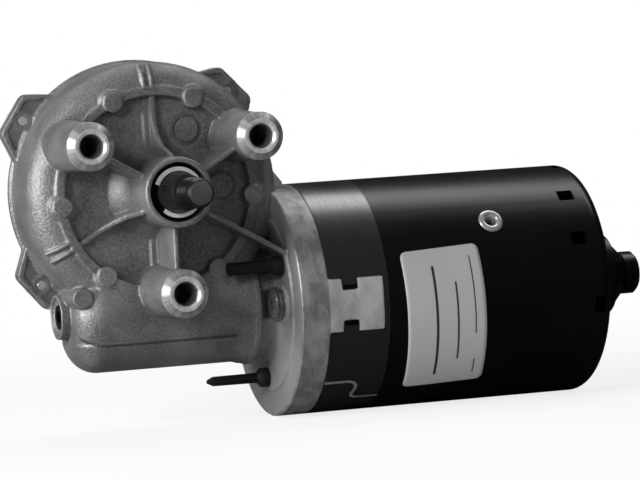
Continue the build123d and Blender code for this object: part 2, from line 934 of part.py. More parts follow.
def cover_plan(radius, inset):
    """Round plan with three ears."""
    plan = Circle(radius)
    for angle in ear_angles:
        plan += Rot(0, 0, angle) * ear_outline(inset)
    return plan


def cover_gasket():
    """Flat gasket between the case rim and the cover."""
    plate = Pos(0, 0, cover_front()) * extrude(cover_plan(case_radius, cover_inset), gasket_thickness)
    plate -= disc(cavity_radius, cover_front() - 1, -rim_depth + 1)
    hole = disc(cover_screw_radius + screw_gap, cover_front() - 1, 0)
    for angle in ear_angles:
        plate -= at(cover_screw_circle_radius, angle) * hole
    return GEAR * plate - behind_flange()


def cover_relief(offset):
    """Half section of the pressed dome and ring bead, one face of the sheet."""
    level = cover_front() - offset
    return [
        (0, level - dome_height),
        (dome_radius, level - dome_height),
        (dome_radius + 1.5, level),
        (bead_inner_radius, level),
        (bead_inner_radius + 1, level - bead_height),
        (bead_outer_radius - 1, level - bead_height),
        (bead_outer_radius, level),
        (case_radius, level),
    ]


def back_cover():
    """Pressed steel cover with shaft dome, ring bead, screw ears and a corner tab."""
    round_part = turned(*cover_relief(0), *reversed(cover_relief(cover_thickness)))
    flat = extrude(cover_plan(case_radius, cover_inset) - Circle(bead_outer_radius), cover_thickness)
    tab = make_face(
        Polyline(
            (bead_outer_radius, tab_root_z),
            (tab_reach_x - (tab_root_z - tab_top_z), tab_top_z),
            (tab_reach_x, tab_top_z - tab_root_z * 0.6),
            (tab_reach_x, -tab_root_z),
            (bead_outer_radius, -tab_root_z),
            close=True,
        )
    )
    flat += extrude(tab - Circle(bead_outer_radius), cover_thickness)
    cover = round_part + Pos(0, 0, cover_front() - cover_thickness) * flat
    for angle in ear_angles:
        hole = disc(cover_screw_radius + screw_gap, cover_front() - cover_thickness - 1, 0)
        cover -= at(cover_screw_circle_radius, angle) * hole
    opening = block(*carrier_opening, cover_front() - cover_thickness - 1, 0)
    cover -= Pos(*contact_center, 0) * opening
    return GEAR * cover - behind_flange()


def cover_screw():
    """Pan-head screw along local Z, its head below the cover."""
    head = cover_front() - cover_thickness
    point = -rim_depth + ear_thickness - cover_screw_sink
    return turned(
        (0, head - cover_screw_head_height),
        (cover_screw_head_radius - 1, head - cover_screw_head_height),
        (cover_screw_head_radius, head - cover_screw_head_height + 1),
        (cover_screw_head_radius, head),
        (cover_screw_radius, head),
        (cover_screw_radius, point - 0.5),
        (cover_screw_radius - 0.5, point),
        (0, point),
    )


def cover_screws():
    """Three screws that hold the cover."""
    return group([GEAR * (at(cover_screw_circle_radius, angle) * cover_screw()) for angle in ear_angles])


def shaft_button():
    """Plastic button in the cover's dome that limits the output shaft's play."""
    tail = -wheel_depth - wheel_face / 2 - wheel_hub_back - output_tail_length
    return GEAR * disc(button_radius, cover_front() - dome_height, tail - face_gap)


def blade_places():
    """X offsets of the terminal blades from the contact centre."""
    middle = (blade_count - 1) / 2
    return [(index - middle) * blade_pitch for index in range(blade_count)]


def blade_slots():
    """Slots that the terminal blades pass through."""
    thickness = blade_thickness + 2 * blade_gap
    width = blade_width + 2 * blade_gap
    slot = block(thickness, width, cover_front() - socket_depth, 0)
    return [Pos(contact_center[0] + place, contact_center[1], 0) * slot for place in blade_places()]


def contact_carrier():
    """Moulded plate inside the cover that holds the contact fingers and blades."""
    plate = block(*carrier_size, cover_front(), cover_front() + carrier_thickness)
    carrier = Pos(*contact_center, 0) * plate
    for slot in blade_slots():
        carrier -= slot
    return GEAR * carrier


def parking_fingers():
    """Three spring strips that bear on the parking disc."""
    foot = cover_front() + carrier_thickness
    contact = -wheel_depth - wheel_face / 2 - parking_thickness - finger_gap
    start = contact_center[0] - carrier_size[0] / 2 + 1
    bend = contact_center[0] + carrier_size[0] / 2
    middle = finger_contact_x
    side = make_face(
        Polyline(
            (start, foot),
            (bend, foot),
            (middle + 0.3, contact - finger_thickness),
            (middle + 1.5, contact - 3 * finger_thickness),
            (middle + 1.8, contact - 2 * finger_thickness),
            (middle, contact),
            (bend - 0.3, foot + finger_thickness),
            (start, foot + finger_thickness),
            close=True,
        )
    )
    strip = extrude(Plane.XZ * side, finger_width / 2, both=True)
    return group([GEAR * (Pos(0, radius, 0) * strip) for radius in finger_radii])


def terminal_blades():
    """Row of flat blades from the carrier into the socket."""
    inner = cover_front() + carrier_thickness
    outer = cover_front() - cover_thickness - socket_floor - blade_reach
    blade = block(blade_thickness, blade_width, outer, inner)
    center_x, center_y = contact_center
    return group([GEAR * (Pos(center_x + place, center_y, 0) * blade) for place in blade_places()])


def terminal_socket():
    """Open moulded socket round the blades, on the back of the cover."""
    top = cover_front() - cover_thickness
    outer = extrude(RectangleRounded(*socket_size, socket_round), socket_depth)
    width = socket_size[0] - 2 * socket_wall
    height = socket_size[1] - 2 * socket_wall
    inner = extrude(Rectangle(width, height), socket_depth)
    body = Pos(0, 0, top - socket_depth) * outer - Pos(0, 0, top - socket_depth - socket_floor) * inner
    body = Pos(*contact_center, 0) * body
    for slot in blade_slots():
        body -= slot
    body -= ring(bead_outer_radius + 1, bead_inner_radius - 1, top - bead_height - face_gap, top + 1)
    return GEAR * body


# Worm end

def worm_end_bush():
    """Sintered bush that carries the worm end of the armature shaft."""
    end = worm_bush_start_x + worm_bush_length
    return MOTOR * ring(worm_bush_outer_radius, worm_journal_radius + running_gap, worm_bush_start_x, end)


def shaft_end_x():
    """X of the armature shaft's worm end."""
    return worm_bush_start_x - 2


def adjusting_screw():
    """Black grub screw with a six-sided socket, recessed in the tube's nose."""
    start = tube_end_x + adjuster_recess
    screw = disc(adjuster_radius, start, start + adjuster_length)
    socket = RegularPolygon(adjuster_socket_radius, 6)
    screw -= Pos(0, 0, start - 1) * extrude(socket, adjuster_socket_depth + 1)
    return MOTOR * screw


def thrust_piece():
    """Hard pad between the adjusting screw and the shaft's end."""
    start = tube_end_x + adjuster_recess + adjuster_length
    return MOTOR * disc(adjuster_radius - 0.3, start, shaft_end_x() - thrust_gap)


# Front bearing

def ball_track():
    """Round track that the balls run in."""
    track = Torus(bearing_pitch_radius, bearing_ball_radius + bearing_ball_gap)
    return Pos(0, 0, bearing_x + bearing_width / 2) * track


def bearing_outer_ring():
    """Outer ring with its ball track."""
    inner = bearing_pitch_radius + bearing_ball_radius - bearing_shoulder_height
    return MOTOR * (ring(bearing_outer_radius, inner, bearing_x, bearing_end_x) - ball_track())


def bearing_inner_ring():
    """Inner ring pressed on the armature shaft."""
    outer = bearing_pitch_radius - bearing_ball_radius + bearing_shoulder_height
    inner = bearing_bore_radius + seat_gap
    return MOTOR * (ring(outer, inner, bearing_x, bearing_end_x) - ball_track())


def ball_locations():
    """Places of the balls round the bearing."""
    step = 360 / bearing_ball_count
    middle = bearing_x + bearing_width / 2
    return [at(bearing_pitch_radius, index * step, middle) for index in range(bearing_ball_count)]


def bearing_balls():
    """Ring of steel balls."""
    return group([MOTOR * (place * Sphere(bearing_ball_radius)) for place in ball_locations()])


def bearing_cage():
    """Cage ring with a pocket for each ball."""
    middle = bearing_x + bearing_width / 2
    outer = bearing_pitch_radius + cage_half_thickness
    inner = bearing_pitch_radius - cage_half_thickness
    cage = ring(outer, inner, middle - cage_half_width, middle + cage_half_width)
    reach = cage_half_thickness + 1
    pocket = Rot(0, 90, 0) * disc(bearing_ball_radius + bearing_ball_gap, -reach, reach)
    for place in ball_locations():
        cage -= place * pocket
    return MOTOR * cage


def bearing_retainer():
    """Steel plate that holds the bearing in its seat, threaded for the flange screws."""
    end = bearing_end_x + retainer_thickness
    arm = SlotOverall(2 * (flange_screw_circle_radius + screw_post_radius), 2 * screw_post_radius)
    plan = Circle(retainer_radius) + arm - Circle(retainer_opening_radius)
    plate = Pos(0, 0, bearing_end_x) * extrude(plan, retainer_thickness)
    hole = disc(flange_screw_radius + thread_gap, bearing_end_x - 1, end + 1)
    for angle in flange_screw_angles:
        plate -= at(flange_screw_circle_radius, angle) * hole
    return MOTOR * plate


def flange_screws():
    """Pan-head screws in the flange face."""
    seat = flange_x - washer_thickness
    end = bearing_end_x + retainer_thickness + 1
    head = flange_screw_head_radius
    screw = turned(
        (0, seat - flange_screw_head_height),
        (head * 0.55, seat - flange_screw_head_height),
        (head * 0.85, seat - flange_screw_head_height * 0.75),
        (head, seat - flange_screw_head_height * 0.3),
        (head, seat),
        (flange_screw_radius, seat),
        (flange_screw_radius, end - 0.6),
        (flange_screw_radius - 0.6, end),
        (0, end),
    )
    return group([MOTOR * (at(flange_screw_circle_radius, angle) * screw) for angle in flange_screw_angles])


def flange_washers():
    """Washers under the flange screws."""
    washer = ring(washer_radius, flange_screw_radius + screw_gap, flange_x - washer_thickness, flange_x)
    places = [at(flange_screw_circle_radius, angle) for angle in flange_screw_angles]
    return group([MOTOR * (place * washer) for place in places])


# Brush gear

def rubber_plug():
    """Pull-through plug: tail, flare, waist in the flange, body, neck and head at the brush plate."""
    plate_end = brush_plate_x + brush_plate_thickness
    inner_face = flange_x + flange_plate
    flare = flange_x - plug_flare_length
    tail = flare - plug_tail_length
    return turned(
        (0, tail),
        (0.4, tail),
        (plug_tail_radius, tail + plug_point_length),
        (plug_tail_radius, flare),
        (plug_flare_radius, flange_x - 0.6),
        (plug_flare_radius, flange_x),
        (plug_waist_radius, flange_x),
        (plug_waist_radius, inner_face),
        (plug_body_radius, inner_face),
        (plug_body_radius, brush_plate_x),
        (plug_waist_radius, brush_plate_x),
        (plug_waist_radius, plate_end),
        (plug_body_radius, plate_end),
        (plug_waist_radius, plate_end + plug_head_length),
        (0, plate_end + plug_head_length),
    )


def rubber_plugs():
    """Three rubber plugs that hold the brush plate on the flange."""
    return group([MOTOR * (at(plug_circle_radius, angle) * rubber_plug()) for angle in plug_angles])


def brush_plate():
    """Insulating plate that carries the brush boxes."""
    end = brush_plate_x + brush_plate_thickness
    outer = can_radius - tongue_thickness - brush_plate_gap
    plate = ring(outer, brush_plate_bore_radius, brush_plate_x, end)
    hole = disc(plug_waist_radius + seat_gap, brush_plate_x - 1, end + 1)
    for angle in plug_angles:
        plate -= at(plug_circle_radius, angle) * hole
    return MOTOR * plate


def brush_axis_x():
    """X of the brushes' middle line."""
    return brush_plate_x + brush_plate_thickness + box_wall + brush_gap + brush_height / 2


def brush_boxes():
    """Folded brass boxes that guide the brushes."""
    outer_width = brush_width + 2 * (brush_gap + box_wall)
    outer_height = brush_height + 2 * (brush_gap + box_wall)
    length = box_end_radius - box_start_radius
    body = Box(length, outer_width, outer_height)
    hollow = Box(length, brush_width + 2 * brush_gap, brush_height + 2 * brush_gap)
    shell = body - Pos(-box_wall, 0, 0) * hollow
    middle = (box_end_radius + box_start_radius) / 2
    return group([MOTOR * (at(middle, angle, brush_axis_x()) * shell) for angle in brush_angles])


def brush(index):
    """Carbon brush with a face hollowed to the commutator."""
    start = commutator_radius + brush_gap
    block_start = start - 2
    body = Pos(block_start + brush_length / 2 + 1, 0, 0) * Box(brush_length + 2, brush_width, brush_height)
    body -= disc(start, -brush_height, brush_height)
    return MOTOR * (at(0, brush_angles[index], brush_axis_x()) * body)


def brush_spring(index):
    """Compression spring between a brush and the end of its box."""
    start = commutator_radius + brush_gap + brush_length + spring_wire / 2
    end = box_end_radius - box_wall - spring_wire / 2
    pitch = (end - start) / spring_turns
    coil = Helix(pitch, end - start, spring_radius)
    wire = Plane(origin=coil @ 0, z_dir=coil % 0) * Rectangle(spring_wire, spring_wire)
    spring = Pos(start, 0, 0) * Rot(0, 90, 0) * sweep(wire, path=coil, is_frenet=True)
    return MOTOR * (at(0, brush_angles[index], brush_axis_x()) * spring)


def choke_coils():
    """Wound suppression coils standing on the brush plate."""
    start = brush_plate_x + brush_plate_thickness + choke_core_overhang
    coil = ring(choke_radius, choke_core_radius + seat_gap, start, start + choke_length)
    return group([MOTOR * (at(choke_circle_radius, angle) * coil) for angle in choke_angles])


def choke_cores():
    """Ferrite rods inside the coils."""
    start = brush_plate_x + brush_plate_thickness
    core = disc(choke_core_radius, start, start + choke_length + 2 * choke_core_overhang)
    return group([MOTOR * (at(choke_circle_radius, angle) * core) for angle in choke_angles])


def suppression_capacitor():
    """Film capacitor on the brush plate."""
    start = brush_plate_x + brush_plate_thickness
    width, depth, height = capacitor_size
    return MOTOR * (at(choke_circle_radius, capacitor_angle) * block(depth, width, start, start + height))


# Armature

def thread_radius(angle):
    """Worm section: radius at an angle, for one start with straight flanks."""
    lead_share = worm_lead / 360
    flank = math.tan(math.radians(pressure_angle))
    half_pitch_width = (worm_lead / 2 - backlash) / 2
    away = abs((angle + 180) % 360 - 180) * lead_share
    height = (half_pitch_width - away) / flank
    return worm_pitch_radius + max(-module - tip_clearance, min(module, height))


def worm_angles():
    """Angles where the worm's section changes from tip to flank to root."""
    flank = math.tan(math.radians(pressure_angle))
    half = (worm_lead / 2 - backlash) / 2
    tip = (half - module * flank) * 360 / worm_lead
    foot = (half + (module + tip_clearance) * flank) * 360 / worm_lead
    return tip, foot


def worm_point(angle):
    """Point of the worm's cross section at an angle."""
    radius = thread_radius(angle)
    return radius * math.cos(math.radians(angle)), radius * math.sin(math.radians(angle))


def worm_thread(start):
    """Single-start worm, as its cross section twisted along the axis."""
    tip, foot = worm_angles()
    flank = [(foot - tip) * share / 6 for share in range(7)]
    rise = [worm_point(-foot + step) for step in flank]
    fall = [worm_point(tip + step) for step in flank]
    edges = [
        Spline(*rise),
        ThreePointArc(rise[-1], worm_point(0), fall[0]),
        Spline(*fall),
        ThreePointArc(fall[-1], worm_point(180), rise[0]),
    ]
    turns = worm_length / worm_lead
    section = Pos(0, 0, start) * Rot(0, 0, 90 - 180 * turns) * make_face(edges)
    center = (0, 0, start)
    return Solid.extrude_linear_with_rotation(section.face(), center, (0, 0, worm_length), 360 * turns)


def rear_shaft_x():
    """X of the armature shaft's rear end."""
    return knob_end_x() - cup_wall - rear_shaft_end_gap


def armature_shaft():
    """Ground shaft with the worm rolled on its front end."""
    root = worm_pitch_radius - module - tip_clearance
    worm_start = -worm_length / 2
    front = turned(
        (0, shaft_end_x()),
        (worm_journal_radius - 0.6, shaft_end_x()),
        (worm_journal_radius, shaft_end_x() + 0.6),
        (worm_journal_radius, worm_bush_start_x + worm_bush_length + 1),
        (root, worm_start - 1),
        (root, worm_start),
        (0, worm_start),
    )
    rear_step = core_x + core_length + winding_overhang + insulator_thickness + 2
    rear = turned(
        (0, -worm_start),
        (root, -worm_start),
        (shaft_radius, -worm_start + 2),
        (shaft_radius, rear_step),
        (rear_journal_radius, rear_step + 1),
        (rear_journal_radius, rear_shaft_x() - 0.6),
        (rear_journal_radius - 0.6, rear_shaft_x()),
        (0, rear_shaft_x()),
    )
    return MOTOR * (front + worm_thread(worm_start) + rear)


def commutator_hub():
    """Moulded hub that insulates the bars from the shaft."""
    end = commutator_x + commutator_length
    return MOTOR * ring(commutator_hub_radius, shaft_radius + seat_gap, commutator_x, end)


def commutator():
    """Copper bars parted by narrow slots, with risers for the wires."""
    end = commutator_x + commutator_length
    inner = commutator_hub_radius + seat_gap
    body = ring(commutator_radius, inner, commutator_x, end)
    body += ring(riser_radius, inner, end - riser_length, end)
    depth = commutator_slot_depth + riser_radius - commutator_radius
    slot = Pos(riser_radius - depth / 2, 0, 0) * block(depth, commutator_slot, commutator_x - 1, end + 1)
    for index in range(commutator_bars):
        body -= Rot(0, 0, (index + 0.5) * 360 / commutator_bars) * slot
    return MOTOR * body


def core_slot_plan(inset=0.0):
    """Plan of one winding slot, along local X."""
    outer = core_radius - tooth_tip - inset
    inner = slot_inner_radius + inset
    narrow = slot_half_width * inner / outer - inset
    wide = slot_half_width * 1.5 - inset
    corners = [(inner, -narrow), (outer, -wide), (outer, wide), (inner, narrow)]
    return make_face(Polyline(*corners, close=True))


def lamination_plan():
    """Slotted plan shared by the core and its end insulators."""
    plan = Circle(core_radius) - Circle(shaft_radius + seat_gap)
    mouth_length = 2 * tooth_tip
    mouth = Rectangle(mouth_length + 2, 2 * slot_mouth_half_width)
    mouth = Pos(core_radius - mouth_length / 2 + 1, 0) * mouth
    for index in range(core_slots):
        plan -= Rot(0, 0, index * 360 / core_slots) * (core_slot_plan() + mouth)
    return plan


def armature_core():
    """Stack of slotted steel laminations."""
    return MOTOR * (Pos(0, 0, core_x) * extrude(lamination_plan(), core_length))


def core_insulators():
    """Fibre discs on both ends of the core."""
    disc_plan = extrude(lamination_plan(), insulator_thickness)
    ends = (core_x - insulator_thickness, core_x + core_length)
    return group([MOTOR * (Pos(0, 0, end) * disc_plan) for end in ends])


def armature_windings():
    """Wire bundles in the slots, joined by the end turns."""
    front = core_x - insulator_thickness
    back = core_x + core_length + insulator_thickness
    outer = core_radius - tooth_tip - slot_liner
    coil = []
    for near, far in ((front, front - winding_overhang), (back, back + winding_overhang)):
        bend = near + 0.6 * (far - near)
        end_turns = turned(
            (winding_inner_radius, near),
            (outer, near),
            (outer, bend),
            (outer - 3, far),
            (winding_inner_radius + 2, far),
            (winding_inner_radius, bend),
        )
        coil.append(end_turns)
    bar = Pos(0, 0, front) * extrude(core_slot_plan(slot_liner), back - front)
    for index in range(core_slots):
        coil.append(Rot(0, 0, index * 360 / core_slots) * bar)
    return MOTOR * joined(coil)


# Motor can

def can_corner(offset):
    """Centre and end of the rounded corner, for the sheet face at an inward offset."""
    slope = math.radians(can_end_slope)
    radius = can_corner_round - offset
    center = (can_radius - can_corner_round, can_end_x)
    touch = (center[0] + radius * math.sin(slope), center[1] + radius * math.cos(slope))
    return center, radius, touch


def end_wall_x(radius, offset=0.0):
    """X of the sloping end wall at a radius."""
    touch = can_corner(offset)[2]
    return touch[1] + (touch[0] - radius) * math.tan(math.radians(can_end_slope))


def knob_end_x():
    """X of the rear bearing knob's end."""
    return end_wall_x(cup_radius) + cup_depth + knob_neck_height + knob_height


def can_face(offset):
    """One face of the can's sheet as edges from the open edge to the axis."""
    center, radius, touch = can_corner(offset)
    half = math.radians((90 + can_end_slope) / 2)
    middle = (center[0] + radius * math.sin(half), center[1] + radius * math.cos(half))
    cup = end_wall_x(cup_radius)
    step = cup + cup_depth - offset
    outer = can_radius - offset
    inside = offset * cup_wall / can_wall
    end = knob_end_x() - inside
    corners = Polyline(
        touch,
        (cup_radius - inside, end_wall_x(cup_radius - inside, offset)),
        (cup_radius - inside, step),
        (cup_shoulder_radius - inside, step + cup_step),
        (knob_neck_radius - inside, step + cup_step + knob_neck_height),
        (knob_radius - inside, step + 2 * cup_step + knob_neck_height),
        (knob_radius - inside, end - knob_edge),
        (knob_radius - inside - knob_edge, end),
        (0, end),
    )
    straight = Line((outer, can_start_x), (outer, can_end_x))
    bend = ThreePointArc((outer, can_end_x), middle, touch)
    return [straight, bend, corners], end


def can_shell():
    """Deep-drawn can with rounded end and rear bearing cup."""
    outer, outer_end = can_face(0.0)
    inner, inner_end = can_face(can_wall)
    rim = Line((can_radius, can_start_x), (can_radius - can_wall, can_start_x))
    tip = Line((0, inner_end), (0, outer_end))
    return revolve(Plane.XZ * make_face([*outer, *inner, rim, tip]), Axis.Z)


def can_window(angle, place, size):
    """Rectangular cutter through the can's wall, centred at an angle and an X place."""
    cutter = Box(4 * can_wall, size[1], size[0])
    return at(can_radius - 1, angle, place) * cutter


def rivet_angles():
    """Angles of the two eyelet rivets, in the gaps between the magnets."""
    return (pole_gap_angle, pole_gap_angle + 180)


def motor_can():
    """Steel can with tongue windows, pierced windows and rivet holes."""
    can = can_shell()
    for angle in tongue_angles:
        can -= tongue_prism(angle, tongue_gap)
    for pole in rivet_angles():
        for side in (-1, 1):
            can -= can_window(pole + side * inner_window_offset, inner_window_x, inner_window_size)
            can -= can_window(pole + side * outer_window_offset, outer_window_x, outer_window_size)
        hole = Rot(0, 90, 0) * disc(rivet_barrel_radius + seat_gap, 0, can_radius + 1)
        can -= at(0, pole, rivet_x) * hole
    return MOTOR * can


def eyelet_rivets():
    """Hollow rivets that hold the magnet clips to the can."""
    inner_face = can_radius - can_wall - magnet_gap - clip_thickness
    sag = can_radius - math.sqrt(can_radius**2 - rivet_flange_radius**2)
    rivet = turned(
        (rivet_bore_radius, inner_face - rivet_flange_height),
        (rivet_flange_radius - 0.6, inner_face - rivet_flange_height),
        (rivet_flange_radius - 0.6, inner_face - sag),
        (rivet_barrel_radius, inner_face - sag),
        (rivet_barrel_radius, can_radius),
        (rivet_flange_radius, can_radius),
        (rivet_flange_radius, can_radius + 0.3),
        (rivet_flange_radius - 0.8, can_radius + rivet_flange_height),
        (rivet_bore_radius + 0.5, can_radius + rivet_flange_height),
        (rivet_bore_radius, can_radius + rivet_flange_height - 0.5),
    )
    return group([MOTOR * (at(0, angle, rivet_x) * Rot(0, 90, 0) * rivet) for angle in rivet_angles()])


def magnets():
    """Two curved ferrite magnets."""
    end = magnet_x + magnet_length
    angles = (pole_gap_angle + 90, pole_gap_angle - 90)
    return group([
        MOTOR * sector(magnet_outer_radius, magnet_inner_radius, magnet_x, end, angle, magnet_span)
        for angle in angles
    ])


def magnet_clips():
    """Spring clips in the gaps between the magnets."""
    inner = magnet_outer_radius - clip_thickness
    middle = magnet_x + magnet_length / 2
    start = middle - clip_length / 2
    end = middle + clip_length / 2
    clips = []
    for angle in rivet_angles():
        clip = sector(magnet_outer_radius, inner, start, end, angle, clip_span)
        for side in (-1, 1):
            edge = angle + side * (clip_span / 2 - 1)
            clip += sector(magnet_outer_radius, inner - clip_leg_height, start, end, edge, 2)
        hole = Rot(0, 90, 0) * disc(rivet_barrel_radius + seat_gap, 0, can_radius)
        clips.append(MOTOR * (clip - at(0, angle, rivet_x) * hole))
    return group(clips)


def rear_bush():
    """Self-aligning sintered bush in the can's cup."""
    middle = rear_bush_x()
    ball = Pos(0, 0, middle) * Sphere(rear_bush_ball_radius)
    start = middle - rear_bush_half_width
    end = middle + rear_bush_half_width
    slab = ring(rear_bush_ball_radius + 1, rear_journal_radius + running_gap, start, end)
    return MOTOR * (ball & slab)


def cup_floor_x():
    """X of the flat step inside the cup."""
    return end_wall_x(cup_radius) + cup_depth - can_wall


def rear_bush_x():
    """X of the rear bush's middle, its ball seated in the cone behind the cup."""
    wide = cup_shoulder_radius - cup_wall
    fall = cup_shoulder_radius - knob_neck_radius
    reach = (rear_bush_ball_radius + face_gap) * math.hypot(knob_neck_height, fall)
    return cup_floor_x() + cup_step - (reach - wide * knob_neck_height) / fall


def bush_retainer():
    """Spring ring that holds the rear bush in the cup."""
    end = cup_floor_x() - face_gap
    outer = cup_radius - cup_wall - seat_gap
    inner = rear_bush_ball_radius + seat_gap
    return MOTOR * ring(outer, inner, end - rear_retainer_thickness, end)


def rating_label():
    """Self-adhesive foil on the front of the can."""
    span = label_end_angle - label_start_angle
    middle = (label_end_angle + label_start_angle) / 2
    inner = can_radius + seat_gap
    outer = inner + label_thickness
    return MOTOR * sector(outer, inner, label_x, label_x + label_width, middle, span)


PIECES = {
    "gear_housing": gear_housing,
    "neck_bushes": neck_bushes,
    "shaft_seal": shaft_seal,
    "neck_washer": neck_washer,
    "retaining_ring": retaining_ring,
    "output_shaft": output_shaft,
    "worm_wheel": worm_wheel,
    "drive_plate": drive_plate,
    "thrust_washer": thrust_washer,
    "parking_disc": parking_disc,
    "cover_gasket": cover_gasket,
    "back_cover": back_cover,
    "cover_screws": cover_screws,
    "shaft_button": shaft_button,
    "contact_carrier": contact_carrier,
    "parking_fingers": parking_fingers,
    "terminal_blades": terminal_blades,
    "terminal_socket": terminal_socket,
    "worm_end_bush": worm_end_bush,
    "adjusting_screw": adjusting_screw,
    "thrust_piece": thrust_piece,
    "bearing_outer_ring": bearing_outer_ring,
    "bearing_inner_ring": bearing_inner_ring,
    "bearing_balls": bearing_balls,
    "bearing_cage": bearing_cage,
    "bearing_retainer": bearing_retainer,
    "flange_screws": flange_screws,
    "flange_washers": flange_washers,
    "rubber_plugs": rubber_plugs,
    "brush_plate": brush_plate,
    "brush_boxes": brush_boxes,
    "choke_coils": choke_coils,
    "choke_cores": choke_cores,
    "suppression_capacitor": suppression_capacitor,
    "armature_shaft": armature_shaft,
    "commutator_hub": commutator_hub,
    "commutator": commutator,
    "armature_core": armature_core,
    "core_insulators": core_insulators,
    "armature_windings": armature_windings,
    "motor_can": motor_can,
    "eyelet_rivets": eyelet_rivets,
    "magnets": magnets,
    "magnet_clips": magnet_clips,
    "rear_bush": rear_bush,
    "bush_retainer": bush_retainer,
    "rating_label": rating_label,
}

os.makedirs("parts", exist_ok=True)
for name, make in PIECES.items():
    export_step(make(), f"parts/{name}.step")
for index in range(len(brush_angles)):
    export_step(brush(index), f"parts/brush_{index + 1}.step")
    export_step(brush_spring(index), f"parts/brush_spring_{index + 1}.step")
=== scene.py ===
import json
import logging
import math
from dataclasses import dataclass
from enum import Enum
from typing import Optional, Sequence

import bmesh
import bpy
from mathutils import Matrix, Vector


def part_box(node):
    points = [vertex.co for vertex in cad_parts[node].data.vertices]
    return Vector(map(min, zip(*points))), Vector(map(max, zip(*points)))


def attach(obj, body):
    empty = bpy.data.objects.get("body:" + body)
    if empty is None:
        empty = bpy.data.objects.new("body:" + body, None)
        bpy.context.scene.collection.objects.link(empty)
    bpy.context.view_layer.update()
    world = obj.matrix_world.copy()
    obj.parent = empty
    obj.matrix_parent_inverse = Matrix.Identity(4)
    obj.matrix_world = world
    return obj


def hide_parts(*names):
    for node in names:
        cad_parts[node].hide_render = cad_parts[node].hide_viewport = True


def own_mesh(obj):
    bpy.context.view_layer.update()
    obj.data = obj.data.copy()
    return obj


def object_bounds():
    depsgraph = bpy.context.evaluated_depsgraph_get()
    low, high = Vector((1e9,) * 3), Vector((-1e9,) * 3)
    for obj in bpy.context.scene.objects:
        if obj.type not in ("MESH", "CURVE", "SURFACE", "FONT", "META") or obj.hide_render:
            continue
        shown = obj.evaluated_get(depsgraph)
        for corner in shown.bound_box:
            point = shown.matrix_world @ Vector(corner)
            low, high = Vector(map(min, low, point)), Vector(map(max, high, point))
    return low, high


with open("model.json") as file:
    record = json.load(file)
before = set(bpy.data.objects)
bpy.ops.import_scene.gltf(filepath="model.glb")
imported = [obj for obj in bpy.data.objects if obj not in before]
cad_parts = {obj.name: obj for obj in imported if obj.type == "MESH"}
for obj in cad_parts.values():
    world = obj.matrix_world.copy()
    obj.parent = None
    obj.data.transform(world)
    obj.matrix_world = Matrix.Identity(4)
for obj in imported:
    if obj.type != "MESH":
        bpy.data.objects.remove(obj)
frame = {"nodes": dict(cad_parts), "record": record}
CAD_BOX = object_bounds()

LOG = logging.getLogger("wiper_motor")
MM = 0.001

Node = bpy.types.Node
NodeTree = bpy.types.NodeTree
Socket = bpy.types.NodeSocket
Material = bpy.types.Material
Mesh = bpy.types.Mesh
Piece = bpy.types.Object
Build = bmesh.types.BMesh
Values = dict[object, object]
Point = tuple[float, float]
Colour = tuple[float, float, float]
Tone = float | Colour

# Frames of the two axes that pieces are turned about: local z is the axis
GEAR = Matrix(((1, 0, 0, 0), (0, 0, -1, 0), (0, 1, 0, 0), (0, 0, 0, 1)))
MOTOR = Matrix(((0, 0, 1, 0), (-1, 0, 0, 42.5 * MM), (0, -1, 0, -40.0 * MM), (0, 0, 0, 1)))

# The three ears of the case: their angles round the gear's axis, and their distance from it in millimetres
EAR_ANGLES = (146.0, 220.0, 43.0)
EAR_CIRCLE = 45.7

# Distance in metres below which two corners are one
DOUBLE = 1e-7

# Scale of a Wave texture, times the width of its bands in metres
WAVE_SCALE = 0.3183


class Body(Enum):
    """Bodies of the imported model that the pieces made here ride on."""

    CASE = "case"
    OUTPUT = "output"


class Recess(Enum):
    """Drive recess in a screw's head, by its number of lobes."""

    CROSS = 4
    STAR = 6


# Shader building


